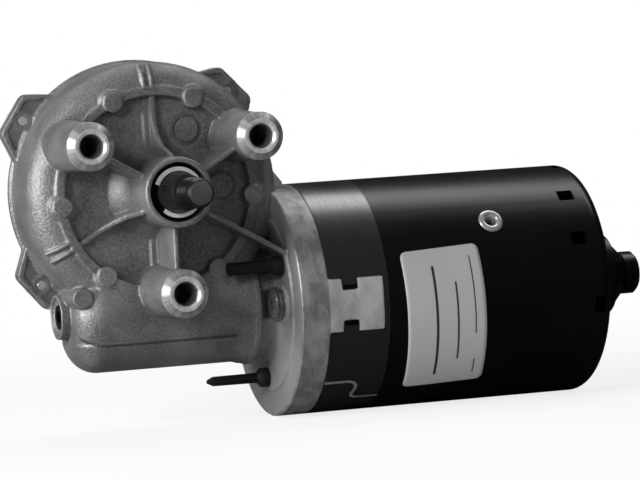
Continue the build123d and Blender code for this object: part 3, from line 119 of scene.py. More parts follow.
class Nodes:
    """A node tree under construction."""

    def __init__(self, tree: NodeTree) -> None:
        """Takes up a tree.

        Args:
            tree: The tree to add nodes to.
        """
        self.tree = tree

    def add(self, kind: str, inputs: Optional[Values] = None, **settings: object) -> Node:
        """Adds a node.

        Args:
            kind: Blender's name of the node type.
            inputs: Sockets or plain values for its inputs, by name or number.
            settings: Properties of the node.

        Returns:
            The new node.
        """
        node = self.tree.nodes.new(kind)
        for key, value in settings.items():
            setattr(node, key, value)
        for key, value in (inputs or {}).items():
            self.feed(node.inputs[key], value)
        return node

    def feed(self, socket: Socket, value: object) -> None:
        """Links a socket or sets a plain value.

        Args:
            socket: Input to fill.
            value: Output socket, number, vector or colour.
        """
        if isinstance(value, Socket):
            self.tree.links.new(value, socket)
        else:
            socket.default_value = value

    def math(self, operation: str, *values: object) -> Socket:
        """Adds a Math node.

        Args:
            operation: Name of the operation.
            values: Its operands, sockets or numbers.

        Returns:
            The node's output.
        """
        return self.add("ShaderNodeMath", dict(enumerate(values)), operation=operation).outputs[0]

    def vector(self, operation: str, *values: object) -> Node:
        """Adds a Vector Math node.

        Args:
            operation: Name of the operation.
            values: Its operands, sockets or vectors.

        Returns:
            The node.
        """
        return self.add("ShaderNodeVectorMath", dict(enumerate(values)), operation=operation)

    def between(self, value: object, low: object, high: object, smooth: bool = True) -> Socket:
        """Maps a value from 0 at low to 1 at high.

        Args:
            value: Socket to map.
            low: Value that gives 0.
            high: Value that gives 1.
            smooth: Whether the ends are eased.

        Returns:
            The mapped output.
        """
        node = self.add("ShaderNodeMapRange", {"Value": value, "From Min": low, "From Max": high},
                        interpolation_type="SMOOTHSTEP" if smooth else "LINEAR")
        return node.outputs["Result"]

    def noise(self, vector: object, scale: object, detail: float = 2.0, rough: float = 0.5) -> Socket:
        """Adds a noise texture.

        Args:
            vector: Socket with the coordinates.
            scale: Features per metre.
            detail: Octaves.
            rough: Strength of the fine octaves.

        Returns:
            The noise value.
        """
        inputs = {"Vector": vector, "Scale": scale, "Detail": detail, "Roughness": rough}
        return self.add("ShaderNodeTexNoise", inputs).outputs["Fac"]

    def seen(self) -> Socket:
        """Finds the rays that the camera sees, straight or through a clear surface.

        Returns:
            1 for such a ray and 0 for any other.
        """
        path = self.add("ShaderNodeLightPath").outputs
        return self.math("MAXIMUM", path["Is Camera Ray"], path["Is Transmission Ray"])


class Shade(Nodes):
    """A node material under construction, with its Principled shader."""

    def __init__(self, name: str, metallic: float = 0.0, roughness: float = 0.5) -> None:
        """Makes the material.

        Args:
            name: Name of the material.
            metallic: Metallic value of the shader.
            roughness: Roughness value of the shader.
        """
        self.material = bpy.data.materials.new(name)
        self.material.use_nodes = True
        super().__init__(self.material.node_tree)
        self.tree.nodes.clear()
        self.bsdf = self.add("ShaderNodeBsdfPrincipled", {"Metallic": metallic, "Roughness": roughness})
        self.out = self.add("ShaderNodeOutputMaterial", {"Surface": self.bsdf.outputs["BSDF"]})
        self.coords = self.add("ShaderNodeTexCoord").outputs["Object"]

    def mix(self, factor: object, first: object, second: object) -> Socket:
        """Mixes two colours.

        Args:
            factor: Share of the second colour.
            first: Colour, grey level or socket.
            second: Colour, grey level or socket.

        Returns:
            The mixed colour.
        """
        node = self.add("ShaderNodeMix", {"Factor": factor, "A": grey(first), "B": grey(second)},
                        data_type="RGBA", clamp_factor=True)
        return node.outputs["Result"]

    def faded(self, factor: object, most: float, first: object, second: object) -> Socket:
        """Mixes in a second colour, but never wholly.

        Args:
            factor: Where the second colour goes, from 0 to 1.
            most: Its share where the factor is 1.
            first: Colour, grey level or socket.
            second: Colour, grey level or socket.

        Returns:
            The mixed colour.
        """
        return self.mix(self.math("MULTIPLY", factor, most), first, second)

    def blend(self, first: object, second: object, share: float) -> Socket:
        """Adds two values by their shares.

        Args:
            first: Socket of the first value.
            second: Socket of the second value.
            share: Share of the first one.

        Returns:
            The sum.
        """
        return self.math("MULTIPLY_ADD", first, share, self.math("MULTIPLY", second, 1.0 - share))

    def placed(self, offset: Sequence[float] = (0, 0, 0), turn: Sequence[float] = (0, 0, 0),
               scale: Sequence[float] = (1, 1, 1), vector: object = None) -> Socket:
        """Moves, turns and stretches the coordinates, as a point is moved.

        Args:
            offset: Distance to move by, in metres.
            turn: Angles to turn by, in radians.
            scale: Factors to stretch by.
            vector: Coordinates, or None for the object's own.

        Returns:
            The changed coordinates.
        """
        inputs = {"Vector": vector or self.coords, "Location": offset, "Rotation": turn, "Scale": scale}
        return self.add("ShaderNodeMapping", inputs).outputs["Vector"]

    def along(self, axis: str) -> Socket:
        """Gives one of the part's coordinates.

        Args:
            axis: X, Y or Z.

        Returns:
            The coordinate in metres.
        """
        return self.add("ShaderNodeSeparateXYZ", {0: self.coords}).outputs[axis]

    def from_motor(self) -> Socket:
        """Gives the coordinates as seen from a point on the motor's axis.

        Returns:
            The coordinates in metres.
        """
        return self.placed(tuple(-MOTOR.translation))

    def motor_radius(self, turning: NodeTree) -> Socket:
        """Gives the distance from the motor's axis.

        Args:
            turning: The effect that measures it.

        Returns:
            The distance in metres.
        """
        local = self.placed(turn=(0, -math.pi / 2, 0), vector=self.from_motor())
        return self.effect(turning, Vector=local)["Radius"]

    def effect(self, tree: NodeTree, **values: object) -> Values:
        """Places a shared effect in the material.

        Args:
            tree: The node group.
            values: Its inputs by name.

        Returns:
            Its outputs by name.
        """
        return self.add("ShaderNodeGroup", node_tree=tree, inputs=values).outputs

    def colour(self, value: object) -> None:
        """Links the base colour.

        Args:
            value: Socket with the colour.
        """
        self.feed(self.bsdf.inputs["Base Color"], value)

    def roughness(self, value: object) -> None:
        """Links the roughness.

        Args:
            value: Socket with the roughness.
        """
        self.feed(self.bsdf.inputs["Roughness"], value)

    def bump(self, height: object, depth: float) -> None:
        """Adds relief to the shader's normal.

        Args:
            height: Socket with a height from 0 to 1.
            depth: Height in metres at 1.
        """
        node = self.add("ShaderNodeBump", {"Distance": depth, "Strength": 1.0, "Height": height})
        self.feed(self.bsdf.inputs["Normal"], node.outputs["Normal"])


def grey(value: object) -> object:
    """Gives a colour with alpha.

    Args:
        value: Grey level, RGB colour, or a socket, which is left as it is.

    Returns:
        The colour, or the socket.
    """
    if isinstance(value, Socket):
        return value
    rgb = (value,) * 3 if isinstance(value, float) else tuple(value)
    return (*rgb, 1.0)


class Effect(Nodes):
    """A shader node group with named inputs and outputs."""

    def __init__(self, name: str, inputs: dict[str, Optional[float]], outputs: Sequence[str]) -> None:
        """Makes the group's sockets.

        Args:
            name: Name of the group.
            inputs: Default of each input by name. None makes it a vector.
            outputs: Names of the outputs, all of them values.
        """
        super().__init__(bpy.data.node_groups.new(name, "ShaderNodeTree"))
        for key, default in inputs.items():
            kind = "NodeSocketVector" if default is None else "NodeSocketFloat"
            socket = self.tree.interface.new_socket(key, in_out="INPUT", socket_type=kind)
            if default is not None:
                socket.default_value = default
        for key in outputs:
            self.tree.interface.new_socket(key, in_out="OUTPUT", socket_type="NodeSocketFloat")
        self.source = self.add("NodeGroupInput").outputs
        self.sink = self.add("NodeGroupOutput").inputs

    def give(self, **results: Socket) -> NodeTree:
        """Links the group's outputs.

        Args:
            results: Sockets by the outputs' names.

        Returns:
            The finished group.
        """
        for key, source in results.items():
            self.feed(self.sink[key], source)
        return self.tree


def grain_effect() -> NodeTree:
    """Builds the fine grain of cast and sintered surfaces.

    Returns:
        Group with the outputs Speckle, Blotch and Height, the first two from 0 to 1.
    """
    effect = Effect("surface_grain", {"Vector": None, "Scale": 1500.0}, ("Speckle", "Blotch", "Height"))
    vector, scale = effect.source["Vector"], effect.source["Scale"]
    fine = effect.noise(vector, scale, 3.0, 0.6)
    coarse = effect.noise(vector, effect.math("MULTIPLY", scale, 0.05), 4.0)
    wider = effect.math("MULTIPLY", scale, 0.7)
    pits = effect.add("ShaderNodeTexVoronoi", {"Vector": vector, "Scale": wider})
    speckle = effect.between(fine, 0.3, 0.7, smooth=False)
    blotch = effect.between(coarse, 0.32, 0.68, smooth=False)
    height = effect.math("MULTIPLY_ADD", pits.outputs["Distance"], 0.6, speckle)
    return effect.give(Speckle=speckle, Blotch=blotch, Height=height)


def edge_wear_and_light_effect() -> NodeTree:
    """Builds masks of a surface's raised edges and of its inner corners. Finishes lighten the edges, partly
    as worn metal and partly as a painted highlight; the cast skin darkens the corners as painted shade.

    Returns:
        Group with the outputs Edge and Crevice, each from 0 to 1.
    """
    effect = Effect("edge_wear", {"Reach": 0.06}, ("Edge", "Crevice"))
    reach = effect.source["Reach"]
    point = effect.add("ShaderNodeNewGeometry").outputs["Pointiness"]
    raised, sunk = 0.51, 0.49
    edge = effect.between(point, raised, effect.math("ADD", raised, reach), smooth=False)
    crevice_shade = effect.between(point, sunk, effect.math("SUBTRACT", sunk, reach), smooth=False)
    return effect.give(Edge=edge, Crevice=crevice_shade)


def turning_effect() -> NodeTree:
    """Builds the grooves of a cutting tool about the local z axis of the coordinates, with bands of tone
    round the axis that are a painted highlight.

    Returns:
        Group with the outputs Groove, Streak and Radius; Radius is in metres.
    """
    inputs = {"Vector": None, "Pitch": 0.2 * MM, "Streaks": 3.0}
    effect = Effect("turning_marks", inputs, ("Groove", "Streak", "Radius"))
    axes = effect.add("ShaderNodeSeparateXYZ", {0: effect.source["Vector"]}).outputs
    flat = effect.add("ShaderNodeCombineXYZ", {"X": axes["X"], "Y": axes["Y"]}).outputs[0]
    radius = effect.vector("LENGTH", flat).outputs["Value"]
    turns = effect.math("DIVIDE", radius, effect.source["Pitch"])
    line = effect.add("ShaderNodeTexNoise", {"W": turns, "Scale": 1.0, "Detail": 2.0}, noise_dimensions="1D")
    direction = effect.vector("NORMALIZE", flat).outputs["Vector"]
    highlight_streak = effect.between(effect.noise(direction, effect.source["Streaks"], 4.0), 0.35, 0.65, smooth=False)
    return effect.give(Groove=line.outputs["Fac"], Streak=highlight_streak, Radius=radius)


@dataclass(frozen=True)
class Effects:
    """The shader effects that several finishes share."""

    grain: NodeTree
    edge_wear_and_light: NodeTree
    turning: NodeTree


# Finishes


@dataclass(frozen=True)
class Metal:
    """Plain metal with fine grain and handling marks; its edges are lighter, partly worn and partly a painted
    highlight.
    """

    name: str
    dark: Tone
    light: Tone
    roughness: float = 0.35
    spread: float = 0.12
    scale: float = 1500.0
    depth: float = 0.01 * MM
    metallic: float = 1.0

    def build(self, effects: Effects) -> Material:
        """Builds the material.

        Args:
            effects: The shared effects.

        Returns:
            The finished material.
        """
        shade = Shade(self.name, self.metallic)
        grain = shade.effect(effects.grain, Vector=shade.coords, Scale=self.scale)
        edge_wear_and_light = shade.effect(effects.edge_wear_and_light, Reach=0.08)
        tone = shade.blend(grain["Speckle"], grain["Blotch"], 0.5)
        base = shade.mix(tone, self.dark, self.light)
        # Edges lighter: partly worn metal, partly a painted highlight
        shade.colour(shade.faded(edge_wear_and_light["Edge"], 0.5, base, self.light))
        shade.roughness(shade.math("MULTIPLY_ADD", grain["Blotch"], self.spread, self.roughness))
        shade.bump(grain["Height"], self.depth)
        return shade.material


@dataclass(frozen=True)
class Moulding:
    """Moulded polymer, rubber or other dull material with a fine skin."""

    name: str
    dark: Tone
    light: Tone
    roughness: float = 0.5
    scale: float = 2200.0
    depth: float = 0.01 * MM

    def build(self, effects: Effects) -> Material:
        """Builds the material.

        Args:
            effects: The shared effects.

        Returns:
            The finished material.
        """
        shade = Shade(self.name)
        grain = shade.effect(effects.grain, Vector=shade.coords, Scale=self.scale)
        edge_wear_and_light = shade.effect(effects.edge_wear_and_light, Reach=0.1)
        base = shade.mix(grain["Blotch"], self.dark, self.light)
        # Edges lighter: partly a worn skin, partly a painted highlight
        shade.colour(shade.faded(edge_wear_and_light["Edge"], 0.35, base, self.light))
        shade.roughness(shade.math("MULTIPLY_ADD", grain["Speckle"], 0.12, self.roughness))
        shade.bump(grain["Height"], self.depth)
        return shade.material


@dataclass(frozen=True)
class CastAluminium:
    """Die-cast skin of the gear case, burnished on the flange rim and the tongues, with a painted highlight
    on its edges, painted shade in its corners and hollows, painted light on the flange face and a painted
    shadow line along the worm tube's step.
    """

    name: str = "cast_aluminium"
    dark: float = 0.08
    light: float = 0.33
    # Tone of the painted highlight on raised edges and ribs
    edge: float = 0.45
    # Tone of the painted shade in inner corners
    crevice_shade: float = 0.05
    # Painted shade in hollows found by ambient occlusion: its tone, the share of it that is left out, and its
    # reach
    occlusion_shade: float = 0.02
    occlusion_shade_spared: float = 0.92
    occlusion_shade_reach: float = 9.0 * MM
    grain: float = 1500.0
    grain_depth: float = 0.09 * MM
    rim_tones: Point = (0.15, 0.30)
    rim_start: float = 39.9 * MM
    rim_radius: float = 38.0 * MM
    tongue_tones: Point = (0.29, 0.46)
    tongue_start: float = 49.6 * MM
    # Painted light on the flange's left face: its tone and its span along x
    face: float = 0.36
    face_light_span: Point = (36.8 * MM, 38.0 * MM)
    # Tone of the painted shadow line along the step on the worm tube's front
    parting_shade: float = 0.03
    parting_angle: float = 30.0
    parting_edge: Point = (0.6 * MM, 0.3 * MM)
    parting_depth: Point = (32.0 * MM, 30.0 * MM)
    parting_start: Point = (-32.0 * MM, -29.0 * MM)
    parting_end: Point = (25.0 * MM, 23.5 * MM)

    def build(self, effects: Effects) -> Material:
        """Builds the material.

        Args:
            effects: The shared effects.

        Returns:
            The finished material.
        """
        shade = Shade(self.name)
        grain = shade.effect(effects.grain, Vector=shade.coords, Scale=self.grain)
        edge_wear_and_light = shade.effect(effects.edge_wear_and_light, Reach=0.07)
        skin = shade.mix(shade.blend(grain["Speckle"], grain["Blotch"], 0.6), self.dark, self.light)
        # Painted highlight: raised edges and ribs are lightened
        skin = shade.faded(edge_wear_and_light["Edge"], 0.35, skin, self.edge)
        # Painted shade: inner corners are darkened
        skin = shade.faded(edge_wear_and_light["Crevice"], 0.6, skin, self.crevice_shade)
        # Painted shade: hollows that ambient occlusion finds are darkened
        occlusion = shade.add("ShaderNodeAmbientOcclusion", {"Distance": self.occlusion_shade_reach},
                             samples=8, only_local=True)
        occlusion_shade = shade.between(occlusion.outputs["AO"], 0.95, 0.45)
        skin = shade.faded(occlusion_shade, 1.0 - self.occlusion_shade_spared, skin, self.occlusion_shade)
        # Painted light: the flange's left face is lightened
        skin = shade.faded(shade.between(shade.along("X"), *self.face_light_span), 0.6, skin, self.face)
        # Painted shadow: a dark line along the step on the worm tube's front
        skin = shade.faded(self.parting_shadow(shade), 0.75, skin, self.parting_shade)
        rim, tongue = self.masks(shade, effects)
        wave = shade.noise(shade.placed(scale=(1, 1, 0.5)), 160.0, 5.0, 0.65)
        skin = shade.mix(rim, skin, shade.mix(shade.between(wave, 0.35, 0.65), *self.rim_tones))
        skin = shade.mix(tongue, skin, shade.mix(shade.between(wave, 0.3, 0.7), *self.tongue_tones))
        shade.colour(skin)
        metal = shade.math("MULTIPLY_ADD", rim, -0.15, 0.60)
        shade.feed(shade.bsdf.inputs["Metallic"], shade.math("MULTIPLY_ADD", tongue, -0.20, metal))
        rough = shade.math("MULTIPLY_ADD", grain["Speckle"], 0.14, 0.40)
        shade.roughness(shade.math("MULTIPLY_ADD", shade.math("MAXIMUM", rim, tongue), -0.10, rough))
        height = shade.math("MULTIPLY", grain["Height"], shade.math("MULTIPLY_ADD", rim, -0.6, 1.0))
        height = shade.math("MULTIPLY", height, shade.math("MULTIPLY_ADD", tongue, -0.75, 1.0))
        shade.bump(height, self.grain_depth)
        return shade.material

    def parting_shadow(self, shade: Shade) -> Socket:
        """Finds the step along the front of the worm tube, for a painted shadow line.

        Args:
            shade: Material under construction.

        Returns:
            Mask of the step.
        """
        turn = math.radians(self.parting_angle)
        across = shade.vector("DOT_PRODUCT", shade.from_motor(), (0, math.sin(turn), -math.cos(turn)))
        mask = shade.between(shade.math("ABSOLUTE", across.outputs["Value"]), *self.parting_edge)
        for axis, span in (("Y", self.parting_depth), ("X", self.parting_start), ("X", self.parting_end)):
            mask = shade.math("MULTIPLY", mask, shade.between(shade.along(axis), *span))
        return mask

    def masks(self, shade: Shade, effects: Effects) -> tuple[Socket, Socket]:
        """Finds the outer face of the flange and the tongues.

        Args:
            shade: Material under construction.
            effects: The shared effects.

        Returns:
            Masks of the rim and of the tongues.
        """
        radius, x = shade.motor_radius(effects.turning), shade.along("X")
        outer = shade.between(radius, self.rim_radius - 0.3 * MM, self.rim_radius)
        start = shade.between(x, self.rim_start - 0.2 * MM, self.rim_start)
        tongue = shade.between(x, self.tongue_start, self.tongue_start + 0.3 * MM)
        rim = shade.math("MULTIPLY", outer, start)
        return shade.math("MULTIPLY", rim, shade.math("SUBTRACT", 1.0, tongue)), tongue


@dataclass(frozen=True)
class Turned:
    """Bright machined metal with tool marks about an axis, and bands of tone round the axis that are a
    painted highlight.
    """

    name: str
    face_tones: Point = (0.48, 0.95)
    bevel_tones: Point = (0.10, 0.58)
    ring: float = 0.05
    face_radius: float = 5.75 * MM
    roughness: float = 0.28
    streaks: float = 3.5
    centre: tuple[float, float, float] = (0, 0, 0)
    turn: tuple[float, float, float] = (math.pi / 2, 0, 0)
    pitch: float = 0.12 * MM
    depth: float = 0.02 * MM

    def build(self, effects: Effects) -> Material:
        """Builds the material.

        Args:
            effects: The shared effects.

        Returns:
            The finished material.
        """
        shade = Shade(self.name, metallic=0.65)
        moved = shade.placed(tuple(-c for c in self.centre))
        local = shade.placed(turn=self.turn, vector=moved)
        marks = shade.effect(effects.turning, Vector=local, Pitch=self.pitch, Streaks=self.streaks)
        # Painted highlight: bands of tone round the axis, as on a turned face catching light
        tone = shade.blend(marks["Streak"], shade.between(marks["Groove"], 0.38, 0.62), 0.5)
        bevel = shade.mix(tone, *self.bevel_tones)
        bevel = shade.faded(shade.between(marks["Groove"], 0.62, 0.72), 0.6, bevel, self.ring)
        outer = shade.between(marks["Radius"], self.face_radius - 0.05 * MM, self.face_radius + 0.05 * MM)
        shade.colour(shade.mix(outer, shade.mix(tone, *self.face_tones), bevel))
        shade.roughness(shade.math("MULTIPLY_ADD", marks["Groove"], 0.16, self.roughness))
        shade.bump(marks["Groove"], self.depth)
        return shade.material


@dataclass(frozen=True)
class ShaftOxide:
    """Dark oxide on the output shaft, with a lighter ground end face."""

    name: str = "dark_shaft"
    dark: float = 0.012
    light: float = 0.045
    end: float = 0.13
    end_y: float = -22.7 * MM
    depth: float = 0.01 * MM

    def build(self, effects: Effects) -> Material:
        """Builds the material.

        Args:
            effects: The shared effects.

        Returns:
            The finished material.
        """
        shade = Shade(self.name, metallic=0.7)
        grain = shade.effect(effects.grain, Vector=shade.coords, Scale=1500.0)
        oxide = shade.mix(grain["Blotch"], self.dark, self.light)
        face = shade.between(shade.along("Y"), self.end_y, self.end_y - 0.1 * MM)
        ground = shade.mix(grain["Blotch"], self.end * 0.7, self.end * 1.3)
        shade.colour(shade.mix(face, oxide, ground))
        shade.roughness(shade.math("MULTIPLY_ADD", grain["Blotch"], 0.12, 0.30))
        shade.bump(grain["Height"], self.depth)
        return shade.material


@dataclass(frozen=True)
class CanPaint:
    """Gloss black paint on the can, with a bare dark band at its open end, and painted shade on the faces
    within its wall, such as the slots' floors.
    """

    name: str = "can_paint"
    band_end: float = 70.5 * MM
    paint: float = 0.0016
    bare: float = 0.165
    slot_shade_radius: float = 38.5 * MM
    peel_depth: float = 0.006 * MM

    def build(self, effects: Effects) -> Material:
        """Builds the material.

        Args:
            effects: The shared effects.

        Returns:
            The finished material.
        """
        shade = Shade(self.name)
        uneven = shade.noise(shade.coords, 90.0, 2.0)
        place = shade.math("MULTIPLY_ADD", uneven, 0.25 * MM, shade.along("X"))
        painted = shade.between(place, self.band_end, self.band_end + 0.12 * MM)
        scratch = shade.noise(shade.placed(scale=(18, 1, 1)), 120.0, 6.0, 0.7)
        metal = shade.mix(shade.between(scratch, 0.4, 0.72), self.bare * 0.9, self.bare * 1.12)
        dust = shade.effect(effects.grain, Vector=shade.coords, Scale=900.0)
        paint = shade.mix(dust["Blotch"], self.paint, self.paint * 1.6)
        # Painted shade: faces within the can's outer skin, such as the slots' floors, take the black paint
        radius = shade.motor_radius(effects.turning)
        slot_shade = shade.between(radius, self.slot_shade_radius, self.slot_shade_radius - 0.2 * MM)
        paint_or_slot_shade = shade.math("MAXIMUM", painted, slot_shade)
        shade.colour(shade.mix(paint_or_slot_shade, metal, paint))
        shade.feed(shade.bsdf.inputs["Metallic"], shade.math("MULTIPLY_ADD", paint_or_slot_shade, -0.95, 0.95))
        shade.bsdf.inputs["Specular IOR Level"].default_value = 0.4
        smear = shade.noise(shade.coords, 45.0, 4.0)
        rough = shade.math("MULTIPLY_ADD", smear, 0.10, 0.21)
        shade.roughness(shade.math("MULTIPLY_ADD", painted, 0.03, rough))
        peel = shade.noise(shade.coords, 700.0, 2.0)
        shade.bump(peel, self.peel_depth)
        return shade.material


@dataclass(frozen=True)
class LabelFoil:
    """Silver foil with plain ruled lines, on the label's own UV map."""

    name: str = "label_foil"
    silver: float = 0.33
    ink: float = 0.02
    depth: float = 0.004 * MM
    rules: tuple[tuple[float, float, float, float], ...] = (
        (0.375, 0.034, 0.10, 0.88),
        (0.640, 0.024, 0.22, 0.76),
        (0.862, 0.016, 0.40, 0.92),
        (0.862, 0.016, 0.08, 0.20),
    )

    def build(self, effects: Effects) -> Material:
        """Builds the material.

        Args:
            effects: The shared effects.

        Returns:
            The finished material.
        """
        shade = Shade(self.name)
        uv = shade.add("ShaderNodeSeparateXYZ", {0: shade.add("ShaderNodeTexCoord").outputs["UV"]}).outputs
        total = 0.0
        for middle, width, low, high in self.rules:
            across = shade.math("ABSOLUTE", shade.math("SUBTRACT", uv["X"], middle))
            along = shade.math("ABSOLUTE", shade.math("SUBTRACT", uv["Y"], (low + high) / 2))
            line = shade.between(across, width / 2 + 0.004, width / 2 - 0.004)
            end = (high - low) / 2
            line = shade.math("MULTIPLY", line, shade.between(along, end + 0.002, end))
            total = shade.math("MAXIMUM", total, line)
        grain = shade.effect(effects.grain, Vector=shade.coords, Scale=2600.0)
        foil = shade.mix(grain["Speckle"], self.silver * 0.94, self.silver * 1.04)
        foil = shade.faded(grain["Blotch"], 0.12, foil, self.silver * 0.8)
        shade.colour(shade.mix(total, foil, self.ink))
        shade.roughness(shade.math("MULTIPLY_ADD", total, 0.15, 0.36))
        shade.bump(grain["Height"], self.depth)
        return shade.material


@dataclass(frozen=True)
class Laminations:
    """Stack of thin steel sheets along the motor's axis."""

    name: str = "laminated_steel"
    sheet: float = 0.5 * MM
    depth: float = 0.05 * MM

    def build(self, effects: Effects) -> Material:
        """Builds the material.

        Args:
            effects: The shared effects.

        Returns:
            The finished material.
        """
        shade = Shade(self.name, metallic=0.9, roughness=0.45)
        inputs = {"Vector": shade.coords, "Scale": WAVE_SCALE / self.sheet, "Distortion": 0.2}
        wave = shade.add("ShaderNodeTexWave", inputs, bands_direction="X", wave_profile="SAW")
        grain = shade.effect(effects.grain, Vector=shade.coords, Scale=1200.0)
        shade.colour(shade.mix(wave.outputs["Fac"], shade.mix(grain["Blotch"], 0.10, 0.16), 0.28))
        shade.bump(wave.outputs["Fac"], self.depth)
        return shade.material


@dataclass(frozen=True)
class Wire:
    """Enamelled wire laid side by side, seen as fine ridges along the axis."""

    name: str = "enamelled_wire"
    gauge: float = 0.9 * MM
    depth: float = 0.2 * MM

    def build(self, effects: Effects) -> Material:
        """Builds the material.

        Args:
            effects: The shared effects.

        Returns:
            The finished material.
        """
        shade = Shade(self.name, metallic=0.8)
        inputs = {"Vector": shade.coords, "Scale": WAVE_SCALE / self.gauge, "Distortion": 1.5, "Detail": 1.0}
        wave = shade.add("ShaderNodeTexWave", inputs, bands_direction="Z", wave_profile="SIN")
        grain = shade.effect(effects.grain, Vector=shade.coords, Scale=900.0)
        lit = shade.mix(grain["Blotch"], (0.17, 0.055, 0.02), (0.28, 0.10, 0.04))
        # Painted shade: the troughs between the wires are darkened
        shade.colour(shade.mix(wave.outputs["Fac"], (0.06, 0.02, 0.01), lit))
        shade.roughness(shade.math("MULTIPLY_ADD", grain["Speckle"], 0.15, 0.3))
        shade.bump(wave.outputs["Fac"], self.depth)
        return shade.material


# The finishes by material slot, and those that pieces of scene.py alone have
FINISHES = {
    "sintered_bronze": Metal("sintered_bronze", (0.26, 0.15, 0.06), (0.52, 0.34, 0.16), 0.42,
                             depth=0.03 * MM),
    "black_rubber": Moulding("black_rubber", 0.003, 0.009, 0.62),
    "gasket_rubber": Moulding("gasket_rubber", 0.012, 0.04, 0.75),
    "zinc_steel": Metal("zinc_steel", 0.42, 0.78, 0.24, metallic=0.75),
    "dark_spring_steel": Metal("black_oxide", 0.010, 0.05, 0.34),
    "spring_steel": Metal("spring_steel", (0.20, 0.20, 0.21), (0.42, 0.42, 0.44), 0.30),
    "shaft_steel": Metal("ground_steel", (0.26, 0.26, 0.27), (0.50, 0.50, 0.52), 0.24),
    "bearing_steel": Metal("bearing_steel", (0.62, 0.62, 0.64), (0.78, 0.78, 0.80), 0.08, 0.05),
    "core_steel": Laminations(),
    "cover_steel": Metal("galvanised_sheet", (0.44, 0.44, 0.45), 0.68, 0.40, scale=350.0, metallic=0.25),
    "wheel_plastic": Moulding("natural_polymer", (0.62, 0.58, 0.47), (0.74, 0.71, 0.62), 0.38),
    "black_plastic": Moulding("black_polymer", 0.010, 0.028, 0.42),
    "cage_plastic": Moulding("phenolic", (0.16, 0.07, 0.03), (0.28, 0.13, 0.06), 0.40),
    "laminate": Moulding("paper_laminate", (0.26, 0.13, 0.05), (0.40, 0.22, 0.10), 0.55, scale=800.0),
    "contact_brass": Metal("rolled_brass", (0.58, 0.40, 0.14), (0.82, 0.62, 0.28), 0.26),
    "winding_copper": Wire(),
    "ferrite": Moulding("ferrite", (0.025, 0.025, 0.028), (0.06, 0.06, 0.065), 0.55, depth=0.02 * MM),
    "carbon": Moulding("carbon", 0.012, (0.05, 0.04, 0.035), 0.5, depth=0.02 * MM),
    "capacitor_case": Moulding("dipped_resin", (0.35, 0.20, 0.04), (0.50, 0.32, 0.08), 0.22),
    "can_paint": CanPaint(),
    "label_foil": LabelFoil(),
    "cast_case": CastAluminium(),
    "shaft_dark": ShaftOxide(),
    # The discs' skin: short ambient-occlusion shade at full strength paints their grooves dark
    "cast_disc": CastAluminium("cast_disc", occlusion_shade_spared=0.0, occlusion_shade_reach=1.2 * MM),
    "screw_zinc": Metal("screw_zinc", 0.26, 0.50, 0.22, metallic=0.85),
    "bright_ring": Metal("bright_ring", 0.46, 0.66, 0.36, metallic=0.35),
    "seam_metal": Metal("bright_seam", 0.20, 0.34, 0.4, metallic=0.6),
    "thread_metal": Metal("cut_thread", 0.06, 0.16, 0.3, metallic=0.6),
}

# Nodes whose finish differs from the rest of their slot
NODE_FINISHES = {"neck_washer": "dark_spring_steel"}


# Mesh building


def mesh_object(name: str, mesh: Mesh, material: Optional[Material] = None) -> Piece:
    """Wraps a mesh in an object at the origin.

    Args:
        name: Name of the object.
        mesh: Its mesh, already in place.
        material: Material of the whole mesh, if any.

    Returns:
        The new object.
    """
    thing = bpy.data.objects.new(name, mesh)
    bpy.context.scene.collection.objects.link(thing)
    if material:
        mesh.materials.clear()
        mesh.materials.append(material)
    return thing


def written(build: Build, name: str) -> Mesh:
    """Writes a mesh.

    Args:
        build: The mesh under construction, which is freed.
        name: Name of the mesh.

    Returns:
        The new mesh.
    """
    mesh = bpy.data.meshes.new(name)
    build.to_mesh(mesh)
    build.free()
    return mesh


def sealed(build: Build, name: str, place: Matrix = Matrix.Identity(4), smooth: bool = True) -> Mesh:
    """Merges doubles, turns faces outwards and writes a mesh.

    Args:
        build: The mesh under construction, which is freed.
        name: Name of the mesh.
        place: Matrix from the local frame to the part's frame.
        smooth: Whether its faces are shaded smooth.

    Returns:
        The new mesh.
    """
    bmesh.ops.remove_doubles(build, verts=build.verts, dist=DOUBLE)
    bmesh.ops.transform(build, matrix=place, verts=build.verts)
    bmesh.ops.recalc_face_normals(build, faces=build.faces)
    for face in build.faces:
        face.smooth = smooth
    return written(build, name)


def from_node(node: str) -> Build:
    """Copies the mesh of a CAD node, with its doubles merged.

    Args:
        node: Name of the node.

    Returns:
        The mesh under construction.
    """
    build = bmesh.new()
    build.from_mesh(frame["nodes"][node].data)
    bmesh.ops.remove_doubles(build, verts=build.verts, dist=DOUBLE)
    return build


def around(axis: Matrix, degrees: float, reach: float = 0.0, height: float = 0.0) -> Matrix:
    """Gives the matrix from a place round an axis, its local x outwards, to the part's frame.

    Args:
        axis: GEAR or MOTOR.
        degrees: Angle round the axis.
        reach: Distance from the axis in millimetres.
        height: Height along the axis in millimetres.

    Returns:
        The matrix.
    """
    away = Matrix.Translation((reach * MM, 0, height * MM))
    return axis @ Matrix.Rotation(math.radians(degrees), 4, "Z") @ away


def prism(build: Build, low: Sequence[Sequence[float]], high: Sequence[Sequence[float]]) -> None:
    """Adds a solid between two outlines with as many corners.

    Args:
        build: The mesh under construction.
        low: Corners of one end.
        high: Corners of the other end.
    """
    near, far = ([build.verts.new(corner) for corner in outline] for outline in (low, high))
    build.faces.new(near)
    build.faces.new(far[::-1])
    for step in range(len(near)):
        after = (step + 1) % len(near)
        build.faces.new((near[step], near[after], far[after], far[step]))


